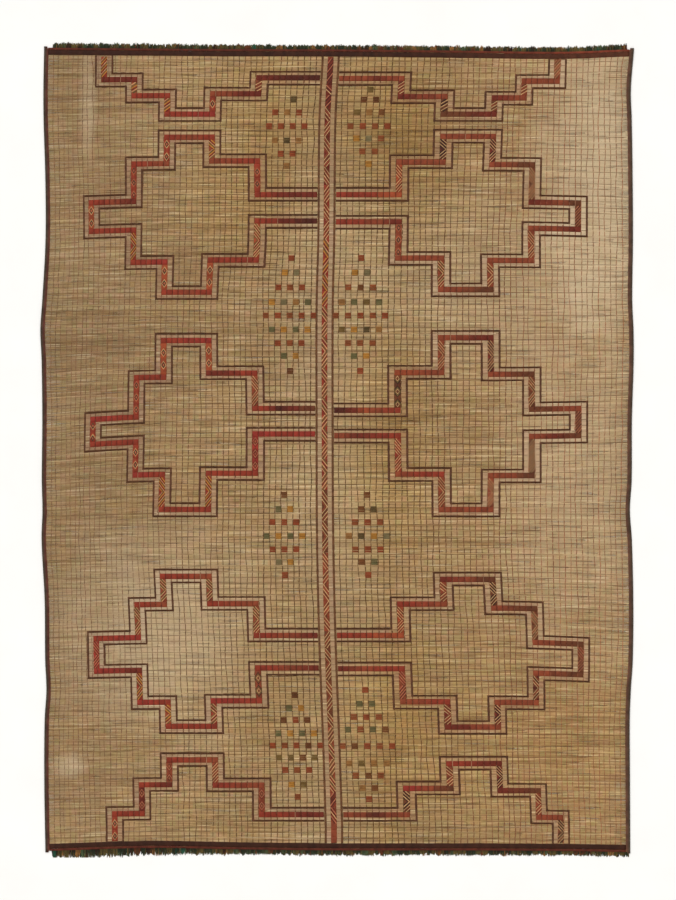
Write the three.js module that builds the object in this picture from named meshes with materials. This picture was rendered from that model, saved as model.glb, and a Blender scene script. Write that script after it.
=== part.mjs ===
import * as THREE from "three";

// A room-size reed mat that lies flat on the floor. Reeds run across it, and leather thongs run up it.
// Millimetres, +Z up from the floor, +Y towards the mat's top end, origin at the mat's middle.

// Driving dimensions
const REED_THICK = 4;
const LEATHER = 1;
const PARTING = 0.3;
const HALF_WIDTH_LEFT = 1641;
const HALF_WIDTH_RIGHT = 1648;
const HALF_LENGTH = 2241;
const SIDE_BINDING_WIDTH = 26;
const SIDE_BINDING_UNDER = 20;
const SIDE_BINDING_TAB = 7;
const PIPING_WIDTH = 14;
const PIPING_UNDER = 10;
const END_BAND_WIDTH = 26.5;
const FRINGE_REACH = 2279;
const FRINGE_ROOT_DEPTH = 6;
const FRINGE_THICK = 2.4;
const FRINGE_LOCKS = 118;
const LOCK_LEAN = 9;
const LOCK_SHORTEST = 19;
const LOCK_UNEVEN = 17;
const LOCK_TIP_THICK = 1.1;
const SPINE_ACROSS = -54.5;
const SPINE_HALF_THONGS = 1.5;

// A band is one thong pitch wide, with a dark line one and a half pitches to each side of its middle.
const BAND_HALF = { thongs: 0.52, rise: 14 };
const LINE_OUT = { thongs: 1.5, rise: 38 };
const LINE_IN = { thongs: 1.5, rise: 34 };
const LINE_HALF = { thongs: 0.14, rise: 4.2 };
const BAND_START = 0.22;

// Heights of the layers
const UNDER_TOP = LEATHER;
const FIELD_EDGE_BOTTOM = LEATHER + PARTING;
const COVER_BOTTOM = REED_THICK + PARTING;
const COVER_TOP = COVER_BOTTOM + LEATHER;

// How far apart the thongs lie, in runs counted from the spine's middle to the side.
const PITCH_LEFT = [
  { thongs: SPINE_HALF_THONGS, pitch: 29.5 },
  { thongs: 11, pitch: 32.8 },
  { thongs: 16, pitch: 32.1 },
  { thongs: 14, pitch: 30.1 },
  { thongs: 8, pitch: 27.4 },
];
const PITCH_RIGHT = [
  { thongs: SPINE_HALF_THONGS, pitch: 29.5 },
  { thongs: 11, pitch: 34.4 },
  { thongs: 14, pitch: 35.1 },
  { thongs: 16, pitch: 32.1 },
  { thongs: 8, pitch: 31.3 },
];

// How far the thongs wander to the right of their even places, at nine heights up the mat, for marked
// thongs at the outer, middle and inner parts of the left and right halves.
const DRIFT_AT = { outL: -42.5, midL: -28.5, inL: -12.5, spine: 0, inR: 12.5, midR: 26.5, outR: 42.5 };
const DRIFT = [
  { up: -2099, outL: 15, midL: 22, inL: 22, spine: 37, inR: 42, midR: 43, outR: 14 },
  { up: -1657, outL: 2, midL: 17, inL: 17, spine: 22, inR: 27, midR: 28, outR: 1 },
  { up: -1065, outL: -7, midL: 0, inL: -6, spine: 0, inR: 6, midR: 10, outR: 4 },
  { up: -506, outL: -18, midL: -25, inL: -17, spine: -13, inR: -4, midR: -16, outR: -3 },
  { up: 109, outL: -16, midL: -16, inL: -14, spine: -16, inR: -12, midR: -16, outR: -8 },
  { up: 802, outL: 0, midL: -11, inL: -22, spine: -15, inR: -14, midR: -18, outR: -7 },
  { up: 1199, outL: 7, midL: -3, inL: -4, spine: -6, inR: -8, midR: -21, outR: -11 },
  { up: 1831, outL: -2, midL: 7, inL: -3, spine: 0, inR: -1, midR: 0, outR: -7 },
  { up: 2177, outL: 0, midL: 11, inL: 11, spine: 19, inR: 14, midR: 11, outR: 0 },
];

// How far the reeds rise out of level near each side, 14 thongs out from where they start to bend.
const BEND_FROM = 28.5;
const BEND_OVER = 14;
const BEND = [
  { up: -2099, left: -6, right: -6 },
  { up: -1657, left: -3, right: -4 },
  { up: -1065, left: -8, right: -14 },
  { up: -506, left: -6, right: -6 },
  { up: 109, left: -20, right: 6 },
  { up: 802, left: -6, right: 0 },
  { up: 1199, left: -11, right: -8 },
  { up: 1831, left: -6, right: -3 },
  { up: 2177, left: 0, right: 3 },
];

// How far the long sides wander outwards.
const SIDES = [
  { up: -2241, left: -10, right: -10 },
  { up: -1847, left: -4, right: -12 },
  { up: -1512, left: -6, right: -13 },
  { up: -1344, left: -16, right: -7 },
  { up: -1177, left: -9, right: 4 },
  { up: -841, left: -6, right: 7 },
  { up: -506, left: 11, right: -1 },
  { up: -338, left: 6, right: -12 },
  { up: -170, left: 10, right: -2 },
  { up: 165, left: 7, right: -1 },
  { up: 500, left: 11, right: 9 },
  { up: 668, left: 18, right: 8 },
  { up: 836, left: 7, right: 1 },
  { up: 1171, left: -11, right: 5 },
  { up: 1507, left: -10, right: 3 },
  { up: 1842, left: 0, right: -2 },
  { up: 2010, left: 1, right: -7 },
  { up: 2241, left: -3, right: 11 },
];

// How far the two ends wander outwards.
const ENDS = [
  { across: -1620, top: 5, bottom: 3 },
  { across: -1050, top: 0, bottom: -14 },
  { across: -540, top: -3, bottom: -6 },
  { across: 0, top: -5, bottom: 0 },
  { across: 630, top: -11, bottom: 0 },
  { across: 1250, top: -18, bottom: 3 },
  { across: 1620, top: -5, bottom: 9 },
];

// The stepped loops. turns: thongs from the spine's line to each riser. above and below: the levels of the
// stretches from the spine to the tip, as distances from the loop's own middle. A loop at an end of the mat
// is only its inner half.
const LOOPS = [
  {
    name: "left_0",
    side: -1,
    middle: 2194,
    turns: [10.5, 18.5, 26.5, 32.5, 38],
    below: [117, 206, 320, 216, 126],
  },
  {
    name: "left_1",
    side: -1,
    middle: 1352,
    turns: [10.5, 18.5, 26.5, 32.5, 40.5],
    above: [72, 260, 393, 245, 37],
    below: [75, 293, 473, 304, 123],
  },
  {
    name: "left_2",
    side: -1,
    middle: 156,
    turns: [10.5, 18.5, 26.5, 31.5, 39.5],
    above: [73, 271, 453, 248, 28],
    below: [69, 289, 491, 296, 111],
  },
  {
    name: "left_3",
    side: -1,
    middle: -1131,
    turns: [10.5, 18.5, 26.5, 31.5, 39.2],
    above: [92, 269, 422, 265, 81],
    below: [90, 274, 416, 281, 102],
  },
  {
    name: "left_4",
    side: -1,
    middle: -2202,
    turns: [10.5, 18.5, 26.5, 31.5, 36.5],
    above: [162, 326, 467, 329, 169],
  },
  {
    name: "right_0",
    side: 1,
    middle: 2194,
    turns: [10.5, 17.5, 25.5, 30.7, 36.5],
    below: [120, 221, 320, 229, 136],
  },
  {
    name: "right_1",
    side: 1,
    middle: 1348,
    turns: [10.5, 17.5, 25.5, 32.5, 40.5],
    above: [76, 258, 401, 244, 36],
    below: [76, 278, 454, 291, 110],
  },
  {
    name: "right_2",
    side: 1,
    middle: 149,
    turns: [10.5, 17.5, 25.5, 32.5, 40.5],
    above: [70, 281, 476, 271, 74],
    below: [72, 287, 485, 295, 77],
  },
  {
    name: "right_3",
    side: 1,
    middle: -1132,
    turns: [10.5, 17.5, 25.5, 32.5, 40.5],
    above: [93, 268, 406, 245, 57],
    below: [93, 278, 419, 281, 115],
  },
  {
    name: "right_4",
    side: 1,
    middle: -2202,
    turns: [10.5, 17.5, 25.5, 32.5, 36.5],
    above: [161, 308, 447, 296, 148],
  },
];

// Finishes
const reed = new THREE.MeshStandardMaterial({ color: 0xb0966c, roughness: 0.75, metalness: 0 });
const redLeather = new THREE.MeshStandardMaterial({ color: 0x963228, roughness: 0.6, metalness: 0 });
const darkLeather = new THREE.MeshStandardMaterial({ color: 0x3c231e, roughness: 0.65, metalness: 0 });
const endLeather = new THREE.MeshStandardMaterial({ color: 0x3c1e23, roughness: 0.6, metalness: 0 });
const sideLeather = new THREE.MeshStandardMaterial({ color: 0x413230, roughness: 0.65, metalness: 0 });
const fringeLeather = new THREE.MeshStandardMaterial({ color: 0x3c412d, roughness: 0.75, metalness: 0 });

// Curves through the tables

// The value of a column at a place along a table's key, on a smooth curve through its rows.
function along(rows, key, column, at) {
  const last = rows.length - 1;
  let i = rows.findIndex((row) => row[key] > at) - 1;
  if (at <= rows[0][key]) i = 0;
  if (at >= rows[last][key]) i = last - 1;
  const span = rows[i + 1][key] - rows[i][key];
  const t = Math.min(1, Math.max(0, (at - rows[i][key]) / span));
  const slope = (k) => {
    const a = rows[Math.max(0, k - 1)];
    const b = rows[Math.min(last, k + 1)];
    return ((b[column] - a[column]) / (b[key] - a[key])) * span;
  };
  const from = rows[i][column];
  const to = rows[i + 1][column];
  const t2 = t * t;
  const t3 = t2 * t;
  const eased = 3 * t2 - 2 * t3;
  return from + (to - from) * eased + slope(i) * (t3 - 2 * t2 + t) + slope(i + 1) * (t3 - t2);
}

// Where a thong lies across the mat when nothing pulls it aside.
function evenAcross(thong) {
  const side = Math.sign(thong);
  let left = Math.abs(thong);
  let across = 0;
  for (const run of side < 0 ? PITCH_LEFT : PITCH_RIGHT) {
    const used = Math.min(left, run.thongs);
    across += used * run.pitch;
    left -= used;
  }
  return SPINE_ACROSS + side * across;
}

const DRIFT_KEYS = Object.keys(DRIFT_AT);
const LAST_THONG = SPINE_HALF_THONGS + 49;

function driftAt(thong, up) {
  const marks = [
    { thong: -LAST_THONG, drift: 0 },
    ...DRIFT_KEYS.map((name) => ({ thong: DRIFT_AT[name], drift: along(DRIFT, "up", name, up) })),
    { thong: LAST_THONG, drift: 0 },
  ];
  const i = Math.min(marks.length - 2, Math.max(0, marks.findIndex((mark) => mark.thong > thong) - 1));
  const t = (thong - marks[i].thong) / (marks[i + 1].thong - marks[i].thong);
  return marks[i].drift + t * (marks[i + 1].drift - marks[i].drift);
}

function bendAt(thong, up) {
  const out = Math.max(0, (Math.abs(thong) - BEND_FROM) / BEND_OVER);
  return along(BEND, "up", thong < 0 ? "left" : "right", up) * Math.pow(out, 1.5);
}

const leftSide = (up) => -(HALF_WIDTH_LEFT + along(SIDES, "up", "left", up));
const rightSide = (up) => HALF_WIDTH_RIGHT + along(SIDES, "up", "right", up);
const topEnd = (across) => HALF_LENGTH + along(ENDS, "across", "top", across);
const bottomEnd = (across) => -(HALF_LENGTH + along(ENDS, "across", "bottom", across));

// A point of the pattern on the mat, kept clear of the end bands.
const END_BAND_INNER = PIPING_WIDTH + 2 * PARTING + END_BAND_WIDTH;
function onMat(thong, rise) {
  const x = evenAcross(thong) + driftAt(thong, rise);
  const y = rise + bendAt(thong, rise);
  const clear = END_BAND_INNER + 2 * PARTING;
  return new THREE.Vector2(x, Math.min(topEnd(x) - clear, Math.max(bottomEnd(x) + clear, y)));
}

// Solids

function solid(vertices, faces) {
  const geometry = new THREE.BufferGeometry();
  geometry.setAttribute("position", new THREE.Float32BufferAttribute(vertices.flat(), 3));
  geometry.setIndex(faces.flat());
  return geometry;
}

// A flat slab over a grid of points, each with its own lower and upper height.
function slab(grid) {
  const rows = grid.length;
  const columns = grid[0].length;
  const vertices = [];
  const faces = [];
  for (const row of grid) {
    for (const p of row) {
      vertices.push([p.x, p.y, p.bottom], [p.x, p.y, p.top]);
    }
  }
  const low = (r, c) => 2 * (r * columns + c);
  const high = (r, c) => low(r, c) + 1;
  for (let r = 0; r < rows - 1; r++) {
    for (let c = 0; c < columns - 1; c++) {
      faces.push([high(r, c), high(r, c + 1), high(r + 1, c + 1)]);
      faces.push([high(r, c), high(r + 1, c + 1), high(r + 1, c)]);
      faces.push([low(r, c), low(r + 1, c + 1), low(r, c + 1)]);
      faces.push([low(r, c), low(r + 1, c), low(r + 1, c + 1)]);
    }
  }
  const wall = (r0, c0, r1, c1) => {
    faces.push([low(r0, c0), low(r1, c1), high(r1, c1)], [low(r0, c0), high(r1, c1), high(r0, c0)]);
  };
  for (let c = 0; c < columns - 1; c++) {
    wall(0, c, 0, c + 1);
    wall(rows - 1, c + 1, rows - 1, c);
  }
  for (let r = 0; r < rows - 1; r++) {
    wall(r, columns - 1, r + 1, columns - 1);
    wall(r + 1, 0, r, 0);
  }
  return solid(vertices, faces);
}

// A section drawn as distances in from an edge and heights, carried along stations on that edge.
// A station may narrow the section towards the edge.
function edging(section, stations, inward) {
  const count = section.length;
  const vertices = [];
  const faces = [];
  for (const station of stations) {
    for (const [distance, height] of section) {
      const reach = distance * (station.narrow ?? 1);
      vertices.push([station.x + reach * inward.x, station.y + reach * inward.y, height]);
    }
  }
  for (let s = 0; s < stations.length - 1; s++) {
    for (let k = 0; k < count; k++) {
      const a = s * count + k;
      const b = s * count + ((k + 1) % count);
      faces.push([a, b, b + count], [a, b + count, a + count]);
    }
  }
  const cap = THREE.ShapeUtils.triangulateShape(section.map(([d, h]) => new THREE.Vector2(d, h)), []);
  const end = (stations.length - 1) * count;
  for (const [a, b, c] of cap) {
    faces.push([a, c, b], [end + a, end + b, end + c]);
  }
  return solid(vertices, faces);
}

// Leather folded over an edge: a leg on top, a wall past the edge, and a leg below.
const foldSection = (over, under) => [
  [0, 0],
  [under, 0],
  [under, UNDER_TOP],
  [LEATHER, UNDER_TOP],
  [LEATHER, COVER_BOTTOM],
  [over, COVER_BOTTOM],
  [over, COVER_TOP],
  [0, COVER_TOP],
];

// Flat leather on the reeds, from its outline.
function flatLeather(outline) {
  const shape = new THREE.Shape(outline);
  const geometry = new THREE.ExtrudeGeometry(shape, { depth: LEATHER, bevelEnabled: false });
  return geometry.translate(0, 0, COVER_BOTTOM);
}

// Reed field

// The field and its edgings share these rows and columns of points, so that their edges run side by side.
// An end row lies some way in from an end of the mat, and any other row at a height.
const FIELD_EDGE_IN = LEATHER + PARTING;
const SLOPE_OVER = 4;
const insets = (under) => [FIELD_EDGE_IN, under, under + SLOPE_OVER];
const END_INSETS = insets(PIPING_UNDER + 1);
const SIDE_INSETS = insets(SIDE_BINDING_UNDER + 2);
const ROWS = [
  ...END_INSETS.map((inset) => ({ end: -1, inset })),
  ...SIDES.slice(1, -1).map((row) => ({ end: 0, up: row.up })),
  ...END_INSETS.map((inset) => ({ end: 1, inset })).reverse(),
];
const EVEN_COLUMNS = Array.from({ length: 11 }, (_, i) => (i + 1) / 12);
const COLUMNS = [
  ...SIDE_INSETS.map((inset) => ({ share: 0, inset })),
  ...EVEN_COLUMNS.map((share) => ({ share, inset: 0 })),
  ...SIDE_INSETS.map((inset) => ({ share: 1, inset: -inset })).reverse(),
];

const endLine = (end, across) => (end > 0 ? topEnd(across) : bottomEnd(across));
const rowHeight = (row, across) => (row.end ? endLine(row.end, across) - row.end * row.inset : row.up);

// Where a row meets a long side of the mat.
function sidePoint(side, row) {
  const y = rowHeight(row, side < 0 ? -HALF_WIDTH_LEFT : HALF_WIDTH_RIGHT);
  return { x: side < 0 ? leftSide(y) : rightSide(y), y };
}

// It gets thinner from below where a binding or piping folds under it, so that all of it lies level.
function reedField() {
  const raised = (list, i) => i < 2 || i > list.length - 3;
  const grid = ROWS.map((row, r) => {
    const left = sidePoint(-1, row).x;
    const right = sidePoint(1, row).x;
    return COLUMNS.map((column, c) => {
      const x = left + column.share * (right - left) + column.inset;
      const bottom = raised(ROWS, r) || raised(COLUMNS, c) ? FIELD_EDGE_BOTTOM : 0;
      return { x, y: rowHeight(row, x), bottom, top: REED_THICK };
    });
  });
  return slab(grid);
}

// Side bindings

// Each runs the whole length of its side and ends in a small pointed tab past the corner.
function sideBinding(side) {
  const tab = (end) => {
    const corner = sidePoint(side, { end, inset: 0 });
    return { x: corner.x, y: corner.y + end * SIDE_BINDING_TAB, narrow: 0.45 };
  };
  const rows = [{ end: -1, inset: 0 }, ...ROWS, { end: 1, inset: 0 }];
  const stations = [tab(-1), ...rows.map((row) => sidePoint(side, row)), tab(1)];
  const ordered = side < 0 ? stations.reverse() : stations;
  const section = foldSection(SIDE_BINDING_WIDTH, SIDE_BINDING_UNDER);
  return edging(section, ordered, new THREE.Vector2(-side, 0));
}

// End pipings and end bands

// Stations on an end's outer line, from one side binding to the other. They stop where the binding, which
// slants a little, reaches furthest in beside the end's leather.
function endStations(end) {
  const outer = { end, inset: 0 };
  const inner = { end, inset: END_BAND_INNER };
  const clear = SIDE_BINDING_WIDTH + 2 * PARTING;
  const left = sidePoint(-1, outer).x;
  const right = sidePoint(1, outer).x;
  const start = Math.max(left, sidePoint(-1, inner).x) + clear;
  const stop = Math.min(right, sidePoint(1, inner).x) - clear;
  const between = EVEN_COLUMNS.map((share) => left + share * (right - left));
  const stations = [start, ...between, stop].map((x) => ({ x, y: endLine(end, x) }));
  return end > 0 ? stations.reverse() : stations;
}

function endPiping(end) {
  return edging(foldSection(PIPING_WIDTH, PIPING_UNDER), endStations(end), new THREE.Vector2(0, -end));
}

function endBand(end) {
  const outer = PIPING_WIDTH + 2 * PARTING;
  const section = [
    [outer, COVER_BOTTOM],
    [outer + END_BAND_WIDTH, COVER_BOTTOM],
    [outer + END_BAND_WIDTH, COVER_TOP],
    [outer, COVER_TOP],
  ];
  return edging(section, endStations(end), new THREE.Vector2(0, -end));
}

// Fringes

// A steady unevenness from 0 to 1 for lock number i.
function uneven(i, kind) {
  const wave = Math.sin(i * 12.9898 + kind * 78.233) * 43758.5453;
  return wave - Math.floor(wave);
}

// One comb of cut leather: a root strip just past the piping, and locks of uneven length, width and lean.
function fringe(end) {
  const stations = endStations(end).sort((a, b) => a.x - b.x);
  const start = stations[0].x;
  const stop = stations[stations.length - 1].x;
  const pitch = (stop - start) / FRINGE_LOCKS;
  const root = (x) => Math.abs(endLine(end, x)) + PARTING;
  const outline = [];
  const kind = end > 0 ? 1 : 2;
  for (let i = 0; i < FRINGE_LOCKS; i++) {
    const middle = start + (i + 0.5) * pitch;
    const half = pitch * (0.38 + 0.1 * uneven(i, kind));
    const lean = LOCK_LEAN * (uneven(i, kind + 10) - 0.5);
    const length = LOCK_SHORTEST + LOCK_UNEVEN * uneven(i, kind + 20);
    const tipHalf = half * (0.4 + 0.4 * uneven(i, kind + 30));
    const foot = root(middle) + FRINGE_ROOT_DEPTH;
    const tip = Math.min(FRINGE_REACH, foot + length);
    const tipMiddle = middle + lean;
    outline.push([middle - half, foot], [tipMiddle - tipHalf, tip]);
    outline.push([tipMiddle + tipHalf, tip], [middle + half, foot]);
  }
  outline[0][0] = start;
  outline[outline.length - 1][0] = stop;
  for (const station of stations.reverse()) {
    outline.push([station.x, root(station.x)]);
  }
  const shape = new THREE.Shape(outline.map(([x, out]) => new THREE.Vector2(x, end * out)));
  const geometry = new THREE.ExtrudeGeometry(shape, { depth: FRINGE_THICK, bevelEnabled: false });
  thinTowardsTips(geometry, root);
  return geometry;
}

// A lock is full thickness at its root and less than half of it at its tip, and lies level all along.
function thinTowardsTips(geometry, root) {
  const position = geometry.getAttribute("position");
  for (let i = 0; i < position.count; i++) {
    const out = Math.abs(position.getY(i)) - root(position.getX(i)) - FRINGE_ROOT_DEPTH;
    const share = Math.min(1, Math.max(0, out / (LOCK_SHORTEST + LOCK_UNEVEN)));
    if (position.getZ(i) > 0) {
      position.setZ(i, FRINGE_THICK + share * (LOCK_TIP_THICK - FRINGE_THICK));
    }
  }
}

// Spine

// A strip up the whole mat between two thong places, in even steps that follow the spine's wander.
const SPINE_STEPS = 18;
function uprightStrip(fromThong, toThong) {
  const share = (i) => (2 * i) / SPINE_STEPS - 1;
  const heights = Array.from({ length: SPINE_STEPS + 1 }, (_, i) => HALF_LENGTH * share(i));
  const up = heights.map((rise) => onMat(toThong, rise));
  const down = heights.map((rise) => onMat(fromThong, rise)).reverse();
  return flatLeather([...up, ...down]);
}

function spineLine(side) {
  const middle = side * SPINE_HALF_THONGS;
  return uprightStrip(middle - LINE_HALF.thongs, middle + LINE_HALF.thongs);
}

// Stepped loops

// The corners of a loop's middle line. It leaves the spine above the loop's middle, steps out to the tip
// and comes back below. The half loops start or stop at the mat's end instead.
function loopPath(loop) {
  const across = loop.turns.map((turn) => loop.side * (SPINE_HALF_THONGS + turn));
  const start = loop.side * (SPINE_HALF_THONGS + BAND_START);
  const half = (levels) => {
    const corners = [];
    levels.forEach((level, i) => {
      corners.push({ thong: i ? across[i - 1] : start, rise: level }, { thong: across[i], rise: level });
    });
    return corners;
  };
  const atEnd = [{ thong: across[across.length - 1], rise: Math.sign(loop.middle) * HALF_LENGTH }];
  const above = loop.above ? half(loop.above.map((level) => loop.middle + level)) : atEnd;
  const below = loop.below ? half(loop.below.map((level) => loop.middle - level)).reverse() : atEnd;
  return [...above, ...below];
}

// The path moved outwards: sideways where it rises, and up or down where it runs across.
function outset(path, side, by) {
  return path.map((corner, i) => {
    const moved = { thong: corner.thong, rise: corner.rise };
    for (const [a, b] of [[path[i - 1], corner], [corner, path[i + 1]]]) {
      if (!a || !b) continue;
      if (a.rise === b.rise) {
        moved.rise = corner.rise + side * Math.sign(b.thong - a.thong) * by.rise;
      } else {
        moved.thong = corner.thong - side * Math.sign(b.rise - a.rise) * by.thongs;
      }
    }
    return moved;
  });
}

// A leather ribbon along the path, from one distance outside it to another.
function ribbon(path, side, from, to) {
  const oneEdge = outset(path, side, from);
  const otherEdge = outset(path, side, to).reverse();
  return flatLeather([...oneEdge, ...otherEdge].map((corner) => onMat(corner.thong, corner.rise)));
}

const wider = (line, half) => ({ thongs: line.thongs + half.thongs, rise: line.rise + half.rise });
const narrower = (line, half) => ({ thongs: line.thongs - half.thongs, rise: line.rise - half.rise });
const opposite = (line) => ({ thongs: -line.thongs, rise: -line.rise });

// Assembly

const mat = new THREE.Group();

function add(name, geometry, material) {
  const mesh = new THREE.Mesh(geometry, material);
  mesh.name = name;
  mat.add(mesh);
}

add("reed_field", reedField(), reed);
add("side_binding_left", sideBinding(-1), sideLeather);
add("side_binding_right", sideBinding(1), sideLeather);
for (const [place, end] of [["top", 1], ["bottom", -1]]) {
  add(`end_piping_${place}`, endPiping(end), redLeather);
  add(`end_band_${place}`, endBand(end), endLeather);
  add(`fringe_${place}`, fringe(end), fringeLeather);
}
add("spine_band", uprightStrip(-BAND_HALF.thongs, BAND_HALF.thongs), redLeather);
add("spine_line_left", spineLine(-1), darkLeather);
add("spine_line_right", spineLine(1), darkLeather);
for (const loop of LOOPS) {
  const path = loopPath(loop);
  add(`loop_${loop.name}_band`, ribbon(path, loop.side, BAND_HALF, opposite(BAND_HALF)), redLeather);
  const outer = [wider(LINE_OUT, LINE_HALF), narrower(LINE_OUT, LINE_HALF)];
  add(`loop_${loop.name}_line_out`, ribbon(path, loop.side, ...outer), darkLeather);
  const inner = [narrower(LINE_IN, LINE_HALF), wider(LINE_IN, LINE_HALF)].map(opposite);
  add(`loop_${loop.name}_line_in`, ribbon(path, loop.side, ...inner), darkLeather);
}

export default mat;
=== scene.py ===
# %% [markdown]
# # A reed floor mat laced with leather
# The real mat is made of thin reed stems laid side by side. Leather thongs run across the stems, over and
# under them in bundles, and turn them into a flat panel. Coloured leather is then laced between the thongs.
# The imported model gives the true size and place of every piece. Here each piece is made again with its stems,
# thongs, strands and stitches, on the same lines.

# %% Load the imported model
import math

import bpy
import numpy as np
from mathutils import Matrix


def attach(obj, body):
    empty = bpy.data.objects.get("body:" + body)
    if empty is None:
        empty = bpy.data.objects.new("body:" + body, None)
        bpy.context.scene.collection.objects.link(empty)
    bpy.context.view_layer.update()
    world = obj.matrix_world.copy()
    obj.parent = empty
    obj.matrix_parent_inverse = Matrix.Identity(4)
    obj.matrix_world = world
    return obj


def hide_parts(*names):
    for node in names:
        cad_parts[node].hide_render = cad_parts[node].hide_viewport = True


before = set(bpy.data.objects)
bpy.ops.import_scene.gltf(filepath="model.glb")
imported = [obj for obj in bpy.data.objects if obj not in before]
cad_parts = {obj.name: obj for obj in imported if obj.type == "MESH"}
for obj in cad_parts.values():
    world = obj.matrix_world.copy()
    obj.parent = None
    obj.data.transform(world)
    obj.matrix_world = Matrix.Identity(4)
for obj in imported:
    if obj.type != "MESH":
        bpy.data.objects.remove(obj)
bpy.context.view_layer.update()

MM = 0.001
chance = np.random.default_rng(11)

# %% [markdown]
# ## The camera and the light
# The mat is seen from straight above, so the camera hangs over its middle and looks down. A long lens from
# far away keeps the sides of the mat parallel. The distance follows from the stretch of floor that has to fit
# into the picture's height: a camera sees as much as its sensor, times the distance, divided by the lens.

# %% Camera
PICTURE_TALL = 900 * 5.59 * MM
LENS, SENSOR = 135, 36
CAMERA_ACROSS, CAMERA_UP = 4.8, -2.8
camera_data = bpy.data.cameras.new("camera")
camera_data.lens = LENS
camera_data.sensor_width = SENSOR
camera_data.clip_end = 200
camera = bpy.data.objects.new("camera", camera_data)
camera.location = (CAMERA_ACROSS * MM, CAMERA_UP * MM, PICTURE_TALL * LENS / SENSOR)
bpy.context.scene.collection.objects.link(camera)
bpy.context.scene.camera = camera
print("camera height:", round(camera.location.z, 2))

# %% [markdown]
# A sun with a wide disc lights all of the mat alike, which a lamp close by wouldn't do, and its shadows are
# soft. The world adds an even pale light from all around.

# %% Light
SUN_STRENGTH, WORLD_STRENGTH = 1.6, 0.64
SUN_DISC, SUN_TURNS = 34, (-24, -28, 0)
sun = bpy.data.lights.new("soft_sun", "SUN")
sun.energy = SUN_STRENGTH
sun.angle = math.radians(SUN_DISC)
sun_object = bpy.data.objects.new("soft_sun", sun)
sun_object.rotation_euler = [math.radians(turn) for turn in SUN_TURNS]
bpy.context.scene.collection.objects.link(sun_object)
world = bpy.data.worlds.new("pale_room")
world.use_nodes = True
world.node_tree.nodes["Background"].inputs["Color"].default_value = (1, 0.99, 0.97, 1)
world.node_tree.nodes["Background"].inputs["Strength"].default_value = WORLD_STRENGTH
bpy.context.scene.world = world
bpy.context.scene.view_settings.view_transform = "Standard"
print("sun and world:", SUN_STRENGTH, WORLD_STRENGTH)

# %% [markdown]
# ## The mat's own grid
# Nothing on a handmade mat is quite straight. Every piece is placed by two numbers of the mat's own: which
# thong it lies at, counted from the middle of the spine, and how far up the mat it is. These tables say how
# the thongs are spaced and how thongs, reeds, sides and ends wander, in millimetres. They repeat the packed
# model's, so that the new pieces lie where its solids lie.

# %% Tables of the grid
SPINE_ACROSS, SPINE_HALF = -54.5, 1.5
LAST_THONG = SPINE_HALF + 49
HALF_LEFT, HALF_RIGHT, HALF_LENGTH = 1641, 1648, 2241
RUNS_LEFT = {"thongs": (SPINE_HALF, 11, 16, 14, 8), "pitch": (29.5, 32.8, 32.1, 30.1, 27.4)}
RUNS_RIGHT = {"thongs": (SPINE_HALF, 11, 14, 16, 8), "pitch": (29.5, 34.4, 35.1, 32.1, 31.3)}
DRIFT_AT = {"outL": -42.5, "midL": -28.5, "inL": -12.5, "spine": 0, "inR": 12.5, "midR": 26.5, "outR": 42.5}
LEVELS_UP = (-2099, -1657, -1065, -506, 109, 802, 1199, 1831, 2177)
DRIFT = {
    "up": LEVELS_UP,
    "outL": (15, 2, -7, -18, -16, 0, 7, -2, 0),
    "midL": (22, 17, 0, -25, -16, -11, -3, 7, 11),
    "inL": (22, 17, -6, -17, -14, -22, -4, -3, 11),
    "spine": (37, 22, 0, -13, -16, -15, -6, 0, 19),
    "inR": (42, 27, 6, -4, -12, -14, -8, -1, 14),
    "midR": (43, 28, 10, -16, -16, -18, -21, 0, 11),
    "outR": (14, 1, 4, -3, -8, -7, -11, -7, 0),
}
BEND_FROM, BEND_OVER = 28.5, 14
BEND = {
    "up": LEVELS_UP,
    "left": (-6, -3, -8, -6, -20, -6, -11, -6, 0),
    "right": (-6, -4, -14, -6, 6, 0, -8, -3, 3),
}
SIDES = {
    "up": (-2241, -1847, -1512, -1344, -1177, -841, -506, -338, -170,
           165, 500, 668, 836, 1171, 1507, 1842, 2010, 2241),
    "left": (-10, -4, -6, -16, -9, -6, 11, 6, 10, 7, 11, 18, 7, -11, -10, 0, 1, -3),
    "right": (-10, -12, -13, -7, 4, 7, -1, -12, -2, -1, 9, 8, 1, 5, 3, -2, -7, 11),
}
ENDS = {
    "across": (-1620, -1050, -540, 0, 630, 1250, 1620),
    "top": (5, 0, -3, -5, -11, -18, -5),
    "bottom": (3, -14, -6, 0, 0, 3, 9),
}
print("thongs from side to side:", int(2 * LAST_THONG + 1))


# %% [markdown]
# Between the rows of a table the value follows a smooth curve. The curve has the slope of its neighbours at
# each row, so it has no kinks, as a real edge has none.

# %% A smooth curve through a table
def along(table, column, at, key="up"):
    """The value of a column at places along the table's key."""
    keys = np.array(table[key], float)
    values = np.array(table[column], float)
    low = np.maximum(np.arange(len(keys)) - 1, 0)
    high = np.minimum(np.arange(len(keys)) + 1, len(keys) - 1)
    slope = (values[high] - values[low]) / (keys[high] - keys[low])
    i = np.clip(np.searchsorted(keys, at, side="right") - 1, 0, len(keys) - 2)
    span = keys[i + 1] - keys[i]
    t = np.clip((at - keys[i]) / span, 0, 1)
    eased = 3 * t**2 - 2 * t**3
    pull = slope[i] * (t**3 - 2 * t**2 + t) + slope[i + 1] * (t**3 - t**2)
    return values[i] + (values[i + 1] - values[i]) * eased + span * pull


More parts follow.
